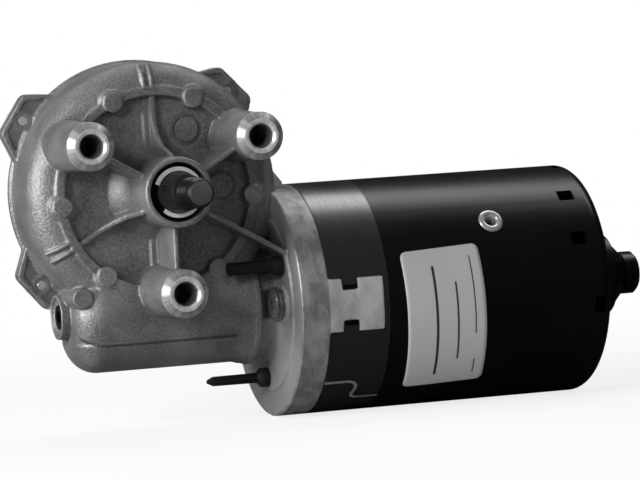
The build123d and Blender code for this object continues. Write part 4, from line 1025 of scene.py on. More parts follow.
@dataclass(frozen=True)
class Lobes:
    """Waves round the first corners of a turned profile. The swing is in millimetres."""

    count: int
    swing: float
    corners: int

    def extra(self, corner: int, angle: float) -> float:
        """Gives the extra radius of a corner.

        Args:
            corner: Its number in the profile.
            angle: Its angle in radians.

        Returns:
            The extra radius in millimetres.
        """
        return self.swing * math.cos(self.count * angle) if corner < self.corners else 0.0


def lathe(profile: Sequence[Point], segments: int, lobes: Lobes = Lobes(0, 0.0, 0)) -> Build:
    """Turns an open profile about local z.

    Args:
        profile: (radius, height) corners in millimetres; the first and last may lie on the axis.
        segments: Steps round the axis.
        lobes: Waves to add to its first corners.

    Returns:
        The mesh under construction.
    """
    build = bmesh.new()
    rings = []
    for index, (radius, height) in enumerate(profile):
        if radius == 0:
            rings.append([build.verts.new((0, 0, height * MM))])
            continue
        ring = []
        for step in range(segments):
            angle = 2 * math.pi * step / segments
            reach = (radius + lobes.extra(index, angle)) * MM
            ring.append(build.verts.new((reach * math.cos(angle), reach * math.sin(angle), height * MM)))
        rings.append(ring)
    for near, far in zip(rings, rings[1:]):
        for step in range(segments):
            after = (step + 1) % segments
            corners = (near[step % len(near)], near[after % len(near)], far[after % len(far)],
                       far[step % len(far)])
            unique = list(dict.fromkeys(corners))
            if len(unique) > 2:
                build.faces.new(unique)
    return build


def closed_lathe(profile: Sequence[Point], segments: int) -> Build:
    """Turns a closed profile that stays off the axis about local z.

    Args:
        profile: (radius, height) corners in millimetres.
        segments: Steps round the axis.

    Returns:
        The mesh under construction.
    """
    return lathe([*profile, profile[0]], segments)


def bevelled(thing: Piece, width: float) -> None:
    """Rounds a piece's sharp edges and shades it smooth between them.

    Args:
        thing: The piece.
        width: Width of the rounding in millimetres.
    """
    bevel = thing.modifiers.new("round", "BEVEL")
    bevel.width = width * MM
    bevel.segments = 2
    bevel.limit_method = "ANGLE"
    bevel.angle_limit = math.radians(28)
    bevel.harden_normals = True


def baked(thing: Piece, name: str) -> Piece:
    """Turns a piece with live modifiers into a plain mesh under a new name.

    Args:
        thing: The piece, which is removed.
        name: Name of the result.

    Returns:
        The plain piece.
    """
    graph = bpy.context.evaluated_depsgraph_get()
    graph.update()
    mesh = bpy.data.meshes.new_from_object(thing.evaluated_get(graph), depsgraph=graph)
    mesh.name = name
    bpy.data.objects.remove(thing)
    return mesh_object(name, mesh)


def cut_out(thing: Piece, cutter: Piece, name: str) -> Piece:
    """Cuts one piece's volume out of another.

    Args:
        thing: The piece to cut, which is used up.
        cutter: The volume to take away, which is removed.
        name: Name of the result.

    Returns:
        The plain piece.
    """
    change = thing.modifiers.new("cut", "BOOLEAN")
    change.operation = "DIFFERENCE"
    change.object = cutter
    change.solver = "EXACT"
    piece = baked(thing, name)
    bpy.data.objects.remove(cutter)
    return piece


def fused(things: Sequence[Piece], name: str) -> Piece:
    """Joins the meshes of several pieces into one piece.

    Args:
        things: The pieces, which are removed. They share one material, or have none.
        name: Name of the result.

    Returns:
        The joined piece.
    """
    build = bmesh.new()
    material = next(iter(things[0].data.materials), None)
    for thing in things:
        build.from_mesh(thing.data)
        bpy.data.objects.remove(thing)
    return mesh_object(name, written(build, name), material)


def shade_by_angle(thing: Piece, degrees: float) -> None:
    """Shades a piece smooth, apart from its sharp edges.

    Args:
        thing: The piece.
        degrees: Angle from which an edge is sharp.
    """
    mesh = thing.data
    build = bmesh.new()
    build.from_mesh(mesh)
    bmesh.ops.remove_doubles(build, verts=build.verts, dist=DOUBLE)
    for face in build.faces:
        face.smooth = True
    for edge in build.edges:
        edge.smooth = not (len(edge.link_faces) == 2 and edge.calc_face_angle(0) > math.radians(degrees))
    build.to_mesh(mesh)
    build.free()


# Geometry node trees


class Tree(Nodes):
    """A geometry node tree with named inputs that ends in Realize Instances and Set Material."""

    KINDS = {int: "NodeSocketInt", float: "NodeSocketFloat", Vector: "NodeSocketVector"}

    def __init__(self, name: str, inputs: dict[str, object]) -> None:
        """Makes the tree's sockets.

        Args:
            name: Name of the tree.
            inputs: Default of each input by name.
        """
        super().__init__(bpy.data.node_groups.new(name, "GeometryNodeTree"))
        sockets = self.tree.interface
        sockets.new_socket("Geometry", in_out="INPUT", socket_type="NodeSocketGeometry")
        self.keys = {}
        for key, default in inputs.items():
            socket = sockets.new_socket(key, in_out="INPUT", socket_type=self.KINDS[type(default)])
            socket.default_value = default
            self.keys[key] = socket.identifier
        paint = sockets.new_socket("Material", in_out="INPUT", socket_type="NodeSocketMaterial")
        self.keys["Material"] = paint.identifier
        sockets.new_socket("Geometry", in_out="OUTPUT", socket_type="NodeSocketGeometry")
        self.source = self.add("NodeGroupInput").outputs
        self.sink = self.add("NodeGroupOutput").inputs

    def finish(self, geometry: Socket) -> None:
        """Ends the tree.

        Args:
            geometry: The result before it is realized.
        """
        real = self.add("GeometryNodeRealizeInstances", {"Geometry": geometry})
        inputs = {"Geometry": real.outputs[0], "Material": self.source["Material"]}
        self.feed(self.sink[0], self.add("GeometryNodeSetMaterial", inputs).outputs[0])

    def run(self, thing: Piece, name: str, material: Material, **values: object) -> Piece:
        """Runs the tree on a piece and keeps the plain result.

        Args:
            thing: The piece, which is used up.
            name: Name of the result.
            material: Material of the result.
            values: The tree's inputs by name.

        Returns:
            The plain piece.
        """
        modifier = thing.modifiers.new(name, "NODES")
        modifier.node_group = self.tree
        for key, value in (values | {"Material": material}).items():
            modifier[self.keys[key]] = value
        thing.update_tag()
        return baked(thing, name)


def polar_tree() -> Tree:
    """Builds the tree that repeats a piece round an axis.

    Returns:
        Tree with the inputs Count, Step (radians), Centre and Axis (a direction).
    """
    centre, axis = Vector((0, 0, 0)), Vector((0, 0, 1))
    tree = Tree("polar_copies", {"Count": 3, "Step": 1.0, "Centre": centre, "Axis": axis})
    source = tree.source
    points = tree.add("GeometryNodePoints", {"Count": source["Count"]})
    index = tree.add("GeometryNodeInputIndex").outputs[0]
    back = tree.vector("MULTIPLY", source["Centre"], (-1, -1, -1)).outputs[0]
    home = tree.add("GeometryNodeTransform", {"Geometry": source["Geometry"], "Translation": back})
    angle = tree.math("MULTIPLY", index, source["Step"])
    turn = tree.add("FunctionNodeAxisAngleToRotation", {"Axis": source["Axis"], "Angle": angle})
    copies = tree.add("GeometryNodeInstanceOnPoints", {
        "Points": points.outputs[0], "Instance": home.outputs[0], "Rotation": turn.outputs[0]})
    tree.finish(tree.add("GeometryNodeTransform", {
        "Geometry": copies.outputs[0], "Translation": source["Centre"]}).outputs[0])
    return tree


def helix_tree() -> Tree:
    """Builds the tree that sweeps a thread ridge up a helix about local z.

    Returns:
        Tree with the inputs Radius, Pitch and Ridge in metres, Turns, and Taper as a share of the length.
    """
    tree = Tree("thread_ridge", {
        "Radius": 5.0 * MM, "Pitch": 1.5 * MM, "Turns": 8.0, "Ridge": 0.8 * MM, "Taper": 0.06})
    source = tree.source
    coil = tree.add("GeometryNodeCurveSpiral", {
        "Resolution": 48, "Rotations": source["Turns"], "Start Radius": source["Radius"],
        "End Radius": source["Radius"], "Height": tree.math("MULTIPLY", source["Pitch"], source["Turns"])})
    upright = tree.add("GeometryNodeSetCurveNormal", {"Curve": coil.outputs[0]}, mode="Z_UP")
    along = tree.add("GeometryNodeSplineParameter").outputs["Factor"]
    rise = tree.between(along, 0.0, source["Taper"], smooth=False)
    fall = tree.between(along, 1.0, tree.math("SUBTRACT", 1.0, source["Taper"]), smooth=False)
    profile = tree.add("GeometryNodeCurvePrimitiveCircle", {"Resolution": 4, "Radius": source["Ridge"]},
                       mode="RADIUS")
    sweep = tree.add("GeometryNodeCurveToMesh", {
        "Curve": upright.outputs[0], "Profile Curve": profile.outputs[0],
        "Scale": tree.math("MULTIPLY", rise, fall), "Fill Caps": True})
    joined = tree.add("GeometryNodeJoinGeometry")
    for geometry in (source["Geometry"], sweep.outputs[0]):
        tree.feed(joined.inputs[0], geometry)
    tree.finish(joined.outputs[0])
    return tree


def line_tree() -> Tree:
    """Builds the tree that turns a chain of edges into a round raised line.

    Returns:
        Tree with the inputs Width and Spacing in metres.
    """
    tree = Tree("raised_line", {"Width": 0.3 * MM, "Spacing": 0.4 * MM})
    source = tree.source
    chain = tree.add("GeometryNodeMeshToCurve", {"Mesh": source["Geometry"]})
    even = tree.add("GeometryNodeResampleCurve", {"Curve": chain.outputs[0], "Length": source["Spacing"]},
                    mode="LENGTH")
    profile = tree.add("GeometryNodeCurvePrimitiveCircle", {"Resolution": 28, "Radius": source["Width"]},
                       mode="RADIUS")
    sweep = tree.add("GeometryNodeCurveToMesh", {
        "Curve": even.outputs[0], "Profile Curve": profile.outputs[0], "Fill Caps": True})
    tree.finish(tree.add("GeometryNodeSetShadeSmooth", {"Geometry": sweep.outputs[0]}).outputs[0])
    return tree


# Sub-assemblies


@dataclass
class Workshop:
    """What every sub-assembly needs: the finishes by name, and the node trees."""

    finishes: dict[str, Material]
    polar: Tree
    helix: Tree
    line: Tree

    def keep(self, thing: Piece, body: Body, slot: str, *replaced: str) -> None:
        """Puts a finished piece on its body.

        Args:
            thing: The piece.
            body: The body that it rides on.
            slot: The record's material slot of the piece; not used.
            replaced: CAD nodes that it stands for.
        """
        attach(thing, body.value)
        if replaced:
            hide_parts(*replaced)
        LOG.info("%s: %d faces, rides on %s", thing.name, len(thing.data.polygons), body.value)

    def keep_set(self, meshes: Sequence[Mesh], name: str, slot: str, sharp: float, node: str) -> None:
        """Joins equal pieces of the case that stand for one CAD node, and puts them on it.

        Args:
            meshes: Their meshes in place.
            name: Name of the joined piece.
            slot: Their finish and material slot.
            sharp: Angle in degrees from which an edge stays sharp.
            node: The CAD node.
        """
        parts = [mesh_object(f"{name}_part", mesh, self.finishes[slot]) for mesh in meshes]
        piece = fused(parts, name)
        shade_by_angle(piece, sharp)
        self.keep(piece, Body.CASE, slot, node)


@dataclass
class GearCase:
    """Die-cast case: casting, machined boss ends, threads and date discs. Sizes in millimetres."""

    voxel: float = 0.4
    coarse_voxel: float = 0.8
    smoothing: int = 2
    triangles: int = 190000
    boss_circle: float = 33.0
    boss_start: float = 30.0
    boss_ring: float = 7.9
    boss_cut: float = 9.2
    boss_ring_depth: float = 3.2
    boss_bevel_depth: float = 2.0
    boss_face: float = 5.7
    hole: float = 4.0
    thread_pitch: float = 1.25
    thread_depth: float = 18.0
    thread_start: float = 1.6
    thread_ridge: float = 0.575
    ear_face: float = -50.0
    ear_floor: float = -50.8
    ear_plan: tuple[Point, ...] = ((41.2, -12.2), (49.2, -6.8), (49.2, 6.8), (41.2, 12.2))
    ear_ring: float = 3.5
    ear_ring_drop: float = 0.45
    nose_x: float = -33.0
    nose_opening: float = 6.4
    nose_depth: float = 1.2
    disc_radius: float = 4.9
    disc_depth: float = 29.0
    disc_places: tuple[Point, ...] = ((11.8, 19.6), (22.6, 0.6))
    ticks: int = 12
    tick_size: tuple[float, float, float] = (0.9, 0.22, 0.16)
    tick_inset: float = 1.85

    def build(self, shop: Workshop) -> None:
        """Makes every piece of the case.

        Args:
            shop: The workshop.
        """
        self.casting(shop)
        self.boss_ends(shop)
        self.threads(shop)
        self.date_discs(shop)

    def casting(self, shop: Workshop) -> None:
        """Makes the casting in place of its node, with every edge softened as a die leaves it.

        Args:
            shop: The workshop.
        """
        whole = mesh_object("casting", written(from_node("gear_housing"), "casting"))
        rough = fused([cut_out(whole, self.cutter(), "casting_cut"), self.ear_floors()], "casting_filled")
        remesh = rough.modifiers.new("skin", "REMESH")
        remesh.mode = "VOXEL"
        remesh.voxel_size = self.voxel * MM
        remesh.use_smooth_shade = True
        soften = rough.modifiers.new("soften", "SMOOTH")
        soften.factor = 0.5
        soften.iterations = self.smoothing
        piece = self.thinned(baked(rough, "case_casting"))
        piece.data.materials.clear()
        piece.data.materials.append(shop.finishes["cast_case"])
        shop.keep(piece, Body.CASE, "cast_case", "gear_housing")

    def thinned(self, piece: Piece) -> Piece:
        """Brings the casting under its number of triangles.

        Args:
            piece: The dense casting.

        Returns:
            The lighter casting.
        """
        count = sum(len(face.vertices) - 2 for face in piece.data.polygons)
        if count <= self.triangles:
            return piece
        thin = piece.modifiers.new("thin", "DECIMATE")
        thin.ratio = self.triangles / count
        piece.name = "case_casting_dense"
        return baked(piece, "case_casting")

    def boss_place(self, index: int) -> Matrix:
        """Gives the matrix from a boss's own frame to the part's frame.

        Args:
            index: Number of the boss, from 0.

        Returns:
            The matrix.
        """
        angle, reach = math.radians(self.boss_start + 120 * index), self.boss_circle * MM
        return GEAR @ Matrix.Translation((reach * math.cos(angle), reach * math.sin(angle), 0))

    def ear_floors(self) -> Piece:
        """Makes the blocks that raise the floors of the ears' pockets.

        Returns:
            One object of three blocks.
        """
        build = bmesh.new()
        for angle in EAR_ANGLES:
            ends = []
            for height in (self.ear_floor - 2.0, self.ear_floor):
                place = around(GEAR, angle, 0.0, height)
                ends.append([place @ Vector((x * MM, y * MM, 0)) for x, y in self.ear_plan])
            prism(build, *ends)
        return mesh_object("ear_floors", sealed(build, "ear_floors", smooth=False))

    def cutter(self) -> Piece:
        """Makes the drums that clear the boss ends, the tops of the ears' rings and the tube's mouth.

        Returns:
            One object of seven drums.
        """
        drums = [(self.boss_place(index), self.boss_cut, 2.0, -self.boss_ring_depth) for index in range(3)]
        drums += [(around(GEAR, angle, EAR_CIRCLE), self.ear_ring, self.ear_face + 1.0,
                   self.ear_face - self.ear_ring_drop) for angle in EAR_ANGLES]
        drums.append((MOTOR, self.nose_opening, self.nose_x - 1.0, self.nose_x + self.nose_depth))
        parts = []
        for place, radius, top, low in drums:
            drum = lathe([(0, top), (radius, top), (radius, low), (0, low)], 48)
            parts.append(mesh_object("drum", sealed(drum, "drum", place)))
        return fused(parts, "cutter")

    def boss_ends(self, shop: Workshop) -> None:
        """Makes the turned ends of the three bosses, with crisp edges.

        Args:
            shop: The workshop.
        """
        deep = -self.boss_ring_depth - 0.25
        profile = (
            (self.hole + 0.02, deep), (self.hole + 0.02, -0.9), (self.hole + 0.75, -0.06),
            (self.boss_face - 0.12, 0.0), (self.boss_face + 0.1, -0.12),
            (self.boss_ring - 0.1, -self.boss_bevel_depth + 0.08),
            (self.boss_ring, -self.boss_bevel_depth - 0.12), (self.boss_ring, -self.boss_ring_depth + 0.2),
            (self.boss_ring - 0.15, -self.boss_ring_depth), (self.boss_ring - 0.5, deep),
        )
        for index in range(3):
            mesh = sealed(closed_lathe(profile, 96), "boss_end", self.boss_place(index), smooth=False)
            end = mesh_object(f"boss_end_{index + 1}", mesh, shop.finishes[f"boss_end_{index + 1}"])
            bevelled(end, 0.08)
            shop.keep(baked(end, f"boss_end_{index + 1}"), Body.CASE, "cast_case")

    def threads(self, shop: Workshop) -> None:
        """Lays the ridge of a thread in each boss hole.

        Args:
            shop: The workshop.
        """
        turns = (self.thread_depth - self.thread_start) / self.thread_pitch
        base = mesh_object("thread_base", bpy.data.meshes.new("thread_base"))
        ridge = shop.helix.run(base, "thread_one", shop.finishes["cast_case"], Radius=(self.hole + 0.05) * MM,
                               Pitch=self.thread_pitch * MM, Turns=turns, Taper=0.02,
                               Ridge=self.thread_ridge * MM)
        ridge.data.transform(Matrix.Translation((0, 0, -self.thread_depth * MM)))
        ridge.data.transform(self.boss_place(0))
        threads = shop.polar.run(ridge, "mounting_threads", shop.finishes["thread_metal"], Count=3,
                                 Step=2 * math.pi / 3, Axis=(0, -1, 0))
        shop.keep(threads, Body.CASE, "cast_case")

    def date_discs(self, shop: Workshop) -> None:
        """Makes the plain ticked discs in the two round recesses.

        Args:
            shop: The workshop.
        """
        radius = self.disc_radius
        flat = [(0.45 * step, -0.12 if step == 4 else 0.0) for step in range(10)]
        profile = [*flat, (radius - 0.8, -0.8), (radius - 0.25, -0.8), (radius - 0.15, 0), (radius, -0.1),
                   (radius, -0.9), (0, -0.9)]
        for index, (x, y) in enumerate(self.disc_places):
            place = GEAR @ Matrix.Translation((x * MM, y * MM, -self.disc_depth * MM))
            disc = mesh_object("disc", sealed(lathe(profile, 48), "disc", place), shop.finishes["cast_disc"])
            tick = bmesh.new()
            away = Matrix.Translation(((radius - self.tick_inset) * MM, 0, 0))
            size = Matrix.Diagonal((*(side * MM for side in self.tick_size), 1))
            bmesh.ops.create_cube(tick, size=1.0, matrix=away @ size)
            mark = mesh_object("tick", sealed(tick, "tick", place, smooth=False))
            ticks = shop.polar.run(mark, "ticks", shop.finishes["cast_disc"], Count=self.ticks,
                                   Step=2 * math.pi / self.ticks, Centre=tuple(place.translation),
                                   Axis=(0, -1, 0))
            shop.keep(fused([disc, ticks], f"date_disc_{index + 1}"), Body.CASE, "cast_case")


@dataclass
class OutputShaft:
    """Output shaft with its knurled cone and threaded end. Sizes in millimetres."""

    radius: float = 7.0
    groove: float = -3.1
    groove_width: float = 1.04
    groove_depth: float = 0.5
    knurl_start: float = -1.4
    knurl_end: float = 8.6
    knurl_start_radius: float = 6.9
    knurl_end_radius: float = 5.75
    knurl_teeth: int = 44
    knurl_height: float = 0.42
    knurl_crest: float = 0.22
    relief: float = 4.2
    relief_length: float = 1.2
    thread_radius: float = 5.0
    thread_pitch: float = 1.5
    thread_ridge: float = 0.74
    tip_bevel: float = 1.7
    ring_turn: float = 77.0

    def build(self, shop: Workshop) -> None:
        """Makes the shaft in place of its plain node.

        Args:
            shop: The workshop.
        """
        low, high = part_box("output_shaft")
        tail, tip = -high.y / MM, -low.y / MM
        turned = sealed(self.core(tail, tip), "core", GEAR, smooth=False)
        core = mesh_object("core", turned, shop.finishes["shaft_dark"])
        bevelled(core, 0.12)
        parts = [baked(core, "core_plain"), self.thread(shop, tip), self.knurl(shop)]
        shop.keep(fused(parts, "threaded_output_shaft"), Body.OUTPUT, "shaft_steel", "output_shaft")
        self.snap_ring(shop)

    def snap_ring(self, shop: Workshop) -> None:
        """Turns the retaining ring on its shaft, so that its opening faces as in the photograph.

        Args:
            shop: The workshop.
        """
        build = from_node("retaining_ring")
        turn = Matrix.Rotation(math.radians(self.ring_turn), 4, "Y")
        bmesh.ops.transform(build, matrix=turn, verts=build.verts)
        ring = mesh_object("snap_ring_plain", written(build, "snap_ring"), shop.finishes["bright_ring"])
        bevelled(ring, 0.12)
        shop.keep(baked(ring, "snap_ring"), Body.OUTPUT, "spring_steel", "retaining_ring")

    def core(self, tail: float, tip: float) -> Build:
        """Turns the plain core of the shaft.

        Args:
            tail: Height of its inner end.
            tip: Height of its threaded end.

        Returns:
            The mesh under construction.
        """
        root = self.thread_radius - 0.75
        thread_start = self.knurl_end + self.relief_length
        groove = self.radius - self.groove_depth
        groove_low = self.groove - 0.02
        return lathe([
            (0, tail), (self.radius - 1, tail), (self.radius, tail + 1),
            (self.radius, groove_low), (groove, groove_low),
            (groove, groove_low + self.groove_width), (self.radius, groove_low + self.groove_width),
            (self.radius, self.knurl_start), (self.knurl_start_radius - self.knurl_height, self.knurl_start),
            (self.knurl_end_radius - self.knurl_height, self.knurl_end), (self.relief, self.knurl_end + 0.3),
            (self.relief, thread_start), (root, thread_start + 0.3),
            (root, tip - 2.6), (self.thread_radius - 0.25, tip - 2.2),
            (self.thread_radius - 0.25, tip - self.tip_bevel),
            (self.thread_radius - 0.7, tip - 0.6), (self.thread_radius - 1.25, tip - 0.15),
            (self.thread_radius - self.tip_bevel, tip), (0, tip),
        ], 96)

    def thread(self, shop: Workshop, tip: float) -> Piece:
        """Sweeps the ridge of the thread.

        Args:
            shop: The workshop.
            tip: Height of the shaft's threaded end.

        Returns:
            The ridge in place.
        """
        start = self.knurl_end + self.relief_length + 0.7
        turns = (tip - self.tip_bevel - start) / self.thread_pitch
        base = mesh_object("ridge_base", bpy.data.meshes.new("ridge_base"))
        ridge = shop.helix.run(base, "ridge", shop.finishes["shaft_dark"], Pitch=self.thread_pitch * MM,
                               Radius=(self.thread_radius - self.thread_ridge) * MM, Turns=turns,
                               Ridge=self.thread_ridge * MM, Taper=0.05)
        ridge.data.transform(GEAR @ Matrix.Translation((0, 0, start * MM)))
        return ridge

    def knurl(self, shop: Workshop) -> Piece:
        """Repeats one tooth of the knurl round the cone.

        Args:
            shop: The workshop.

        Returns:
            The knurl in place.
        """
        build = bmesh.new()
        ends = ((self.knurl_start, self.knurl_start_radius), (self.knurl_end - 0.25, self.knurl_end_radius))
        half = math.pi / self.knurl_teeth
        outlines = []
        for height, crest in ends:
            root = crest - self.knurl_height - 0.05
            top = half * self.knurl_crest
            shape = ((root, -half), (crest, -top), (crest, top), (root, half))
            outlines.append([(r * MM * math.cos(a), r * MM * math.sin(a), height * MM) for r, a in shape])
        prism(build, *outlines)
        tooth = mesh_object("tooth", sealed(build, "tooth", GEAR, smooth=False))
        return shop.polar.run(tooth, "knurl", shop.finishes["shaft_dark"], Count=self.knurl_teeth,
                              Step=2 * math.pi / self.knurl_teeth, Axis=(0, -1, 0))


@dataclass
class Screws:
    """Pan-head screws of one size with a drive recess. Sizes in millimetres, heights along the axis."""

    head: float
    height: float
    shank: float
    length: float
    recess: Recess
    recess_radius: float
    recess_depth: float
    washers: tuple[Point, ...] = ()
    gap: float = 0.25
    segments: int = 72

    def mesh(self) -> Build:
        """Makes one screw, its seat at height 0 and its head below.

        Returns:
            The mesh under construction.
        """
        top = -self.height
        wide = self.recess_radius
        recess = [(wide * 0.8, top + self.recess_depth), (wide * 0.82, top + 0.12), (wide * 0.86, top + 0.02)]
        stack = sum(thick + self.gap for thick, reach in self.washers)
        dome = []
        for step in range(9):
            angle = math.radians(90 * step / 8)
            rise = (self.height - stack - 0.5) * (1 - math.cos(angle))
            dome.append((self.head * (0.42 + 0.58 * math.sin(angle)), top + rise))
        level = -stack
        for thick, reach in self.washers:
            neck = self.head - 0.9
            dome += [(self.head, level - 0.3), (neck, level), (neck, level + self.gap),
                     (reach - 0.1, level + self.gap), (reach, level + 0.4), (reach, level + thick + 0.1)]
            level += thick + self.gap
        shank = [(self.head, -0.35), (self.head - 0.15, 0), (self.shank, 0), (self.shank, self.length - 0.6),
                 (self.shank - 0.6, self.length), (0, self.length)]
        lobes = Lobes(self.recess.value, wide * 0.2, len(recess))
        build = lathe([*recess, *dome, *shank], self.segments, lobes)
        build.verts.ensure_lookup_table()
        build.faces.new([build.verts[step] for step in range(self.segments)])
        return build


@dataclass
class Fasteners:
    """The screws in the flange face and in the cover. Sizes in millimetres."""

    flange_circle: float = 21.8
    flange_seat: float = 38.3
    flange_turn: float = 20.05
    flange_washers: tuple[Point, ...] = ((0.95, 5.25), (0.55, 5.3))
    cover_seat: float = -57.8

    def build(self, shop: Workshop) -> None:
        """Makes the screws in place of their plain nodes.

        Args:
            shop: The workshop.
        """
        self.flange(shop)
        self.cover(shop)

    def flange(self, shop: Workshop) -> None:
        """Makes the two flange screws.

        Args:
            shop: The workshop.
        """
        low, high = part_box("flange_screws")
        length = high.x / MM - self.flange_seat
        height = self.flange_seat - low.x / MM
        screw = Screws(head=5.3, height=height, shank=2.5, length=length, recess=Recess.STAR,
                       recess_radius=2.1, recess_depth=1.8, washers=self.flange_washers)
        turn = Matrix.Rotation(math.radians(self.flange_turn), 4, "Z")
        place = around(MOTOR, 0.0, self.flange_circle, self.flange_seat) @ turn
        one = mesh_object("flange_screw", sealed(screw.mesh(), "flange_screw", place))
        both = shop.polar.run(one, "flange_star_screws", shop.finishes["screw_zinc"], Count=2, Step=math.pi,
                              Centre=tuple(MOTOR.translation), Axis=(1, 0, 0))
        shade_by_angle(both, 40)
        shop.keep(both, Body.CASE, "zinc_steel", "flange_screws")

    def cover(self, shop: Workshop) -> None:
        """Makes the three cover screws.

        Args:
            shop: The workshop.
        """
        low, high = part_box("cover_screws")
        length = -low.y / MM - self.cover_seat
        height = self.cover_seat + high.y / MM
        screw = Screws(head=4.0, height=height, shank=2.0, length=length, recess=Recess.CROSS,
                       recess_radius=1.9, recess_depth=1.3)
        meshes = [sealed(screw.mesh(), "cover_screw", around(GEAR, angle, EAR_CIRCLE, self.cover_seat))
                  for angle in EAR_ANGLES]
        shop.keep_set(meshes, "cover_cross_screws", "zinc_steel", 40, "cover_screws")


@dataclass(frozen=True)
class PlugTail:
    """Where a rubber plug sits and how its tail was cut. Sizes in millimetres."""

    angle: float
    radius: float
    start: float
    point: float


@dataclass
class RubberPlugs:
    """Pull-through plugs in the flange. Sizes in millimetres, heights along the motor's axis."""

    circle: float = 25.6
    tails: tuple[PlugTail, ...] = (
        PlugTail(-30.0, 2.15, 20.0, 0.5),
        PlugTail(90.0, 1.62, 17.7, 1.9),
        PlugTail(210.0, 1.62, 17.7, 1.9),
    )
    collar: tuple[Point, ...] = (
        (2.6, 35.9), (3.1, 36.4), (3.3, 37.0), (3.3, 38.8), (3.05, 39.28), (2.4, 39.3), (2.4, 43.3),
        (4.0, 43.3),
        (4.0, 56.5), (2.4, 56.5), (2.4, 59.0), (4.0, 59.0), (2.4, 61.4), (0, 61.4),
    )

    def build(self, shop: Workshop) -> None:
        """Makes the three plugs in place of their node.

        Args:
            shop: The workshop.
        """
        meshes = []
        for tail in self.tails:
            point = tail.start + tail.point
            profile = [(0, tail.start), (tail.radius * 0.35, tail.start), (tail.radius * 0.94, point),
                       (tail.radius, point + 0.5), (tail.radius * 1.06, 35.1), *self.collar]
            meshes.append(sealed(lathe(profile, 40), "plug", around(MOTOR, tail.angle, self.circle)))
        shop.keep_set(meshes, "pull_through_plugs", "black_rubber", 40, "rubber_plugs")


@dataclass
class Rivets:
    """Rolled eyelets in the can. Sizes in millimetres, heights from the motor's axis."""

    x: float = 110.6
    angles: tuple[float, ...] = (-36.0, 144.0)
    profile: tuple[Point, ...] = (
        (1.9, 34.7), (3.4, 34.7), (3.4, 35.28), (2.75, 35.28), (2.75, 38.6), (4.2, 38.62), (4.25, 38.9),
        (4.1, 39.2),
        (3.7, 39.5), (3.2, 39.66), (2.7, 39.6), (2.3, 39.35), (2.0, 38.9),
    )

    def build(self, shop: Workshop) -> None:
        """Makes the two eyelets in place of their node.

        Args:
            shop: The workshop.
        """
        outward = Matrix.Rotation(math.pi / 2, 4, "Y")
        meshes = [sealed(closed_lathe(self.profile, 64), "rivet", around(MOTOR, angle, 0.0, self.x) @ outward)
                  for angle in self.angles]
        shop.keep_set(meshes, "rolled_eyelets", "zinc_steel", 50, "eyelet_rivets")


@dataclass
class BrushSprings:
    """Coil springs behind the brushes, copied from their nodes. The travel is in millimetres."""

    travel: float = 4.0
    slides: tuple[tuple[float, float, float], ...] = ((0, -1, 0), (0, 1, 0), (0, 0.5, -0.8660254))

    def build(self, shop: Workshop) -> None:
        """Makes the three springs in place of their nodes.

        Args:
            shop: The workshop.
        """
        for number, slide in enumerate(self.slides, 1):
            mesh = sealed(from_node(f"brush_spring_{number}"), f"coil_spring_{number}")
            coil = mesh_object(f"coil_spring_{number}", mesh, shop.finishes["spring_steel"])
            shade_by_angle(coil, 40)
            shop.keep(coil, Body.CASE, "spring_steel", f"brush_spring_{number}")
            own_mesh(coil)


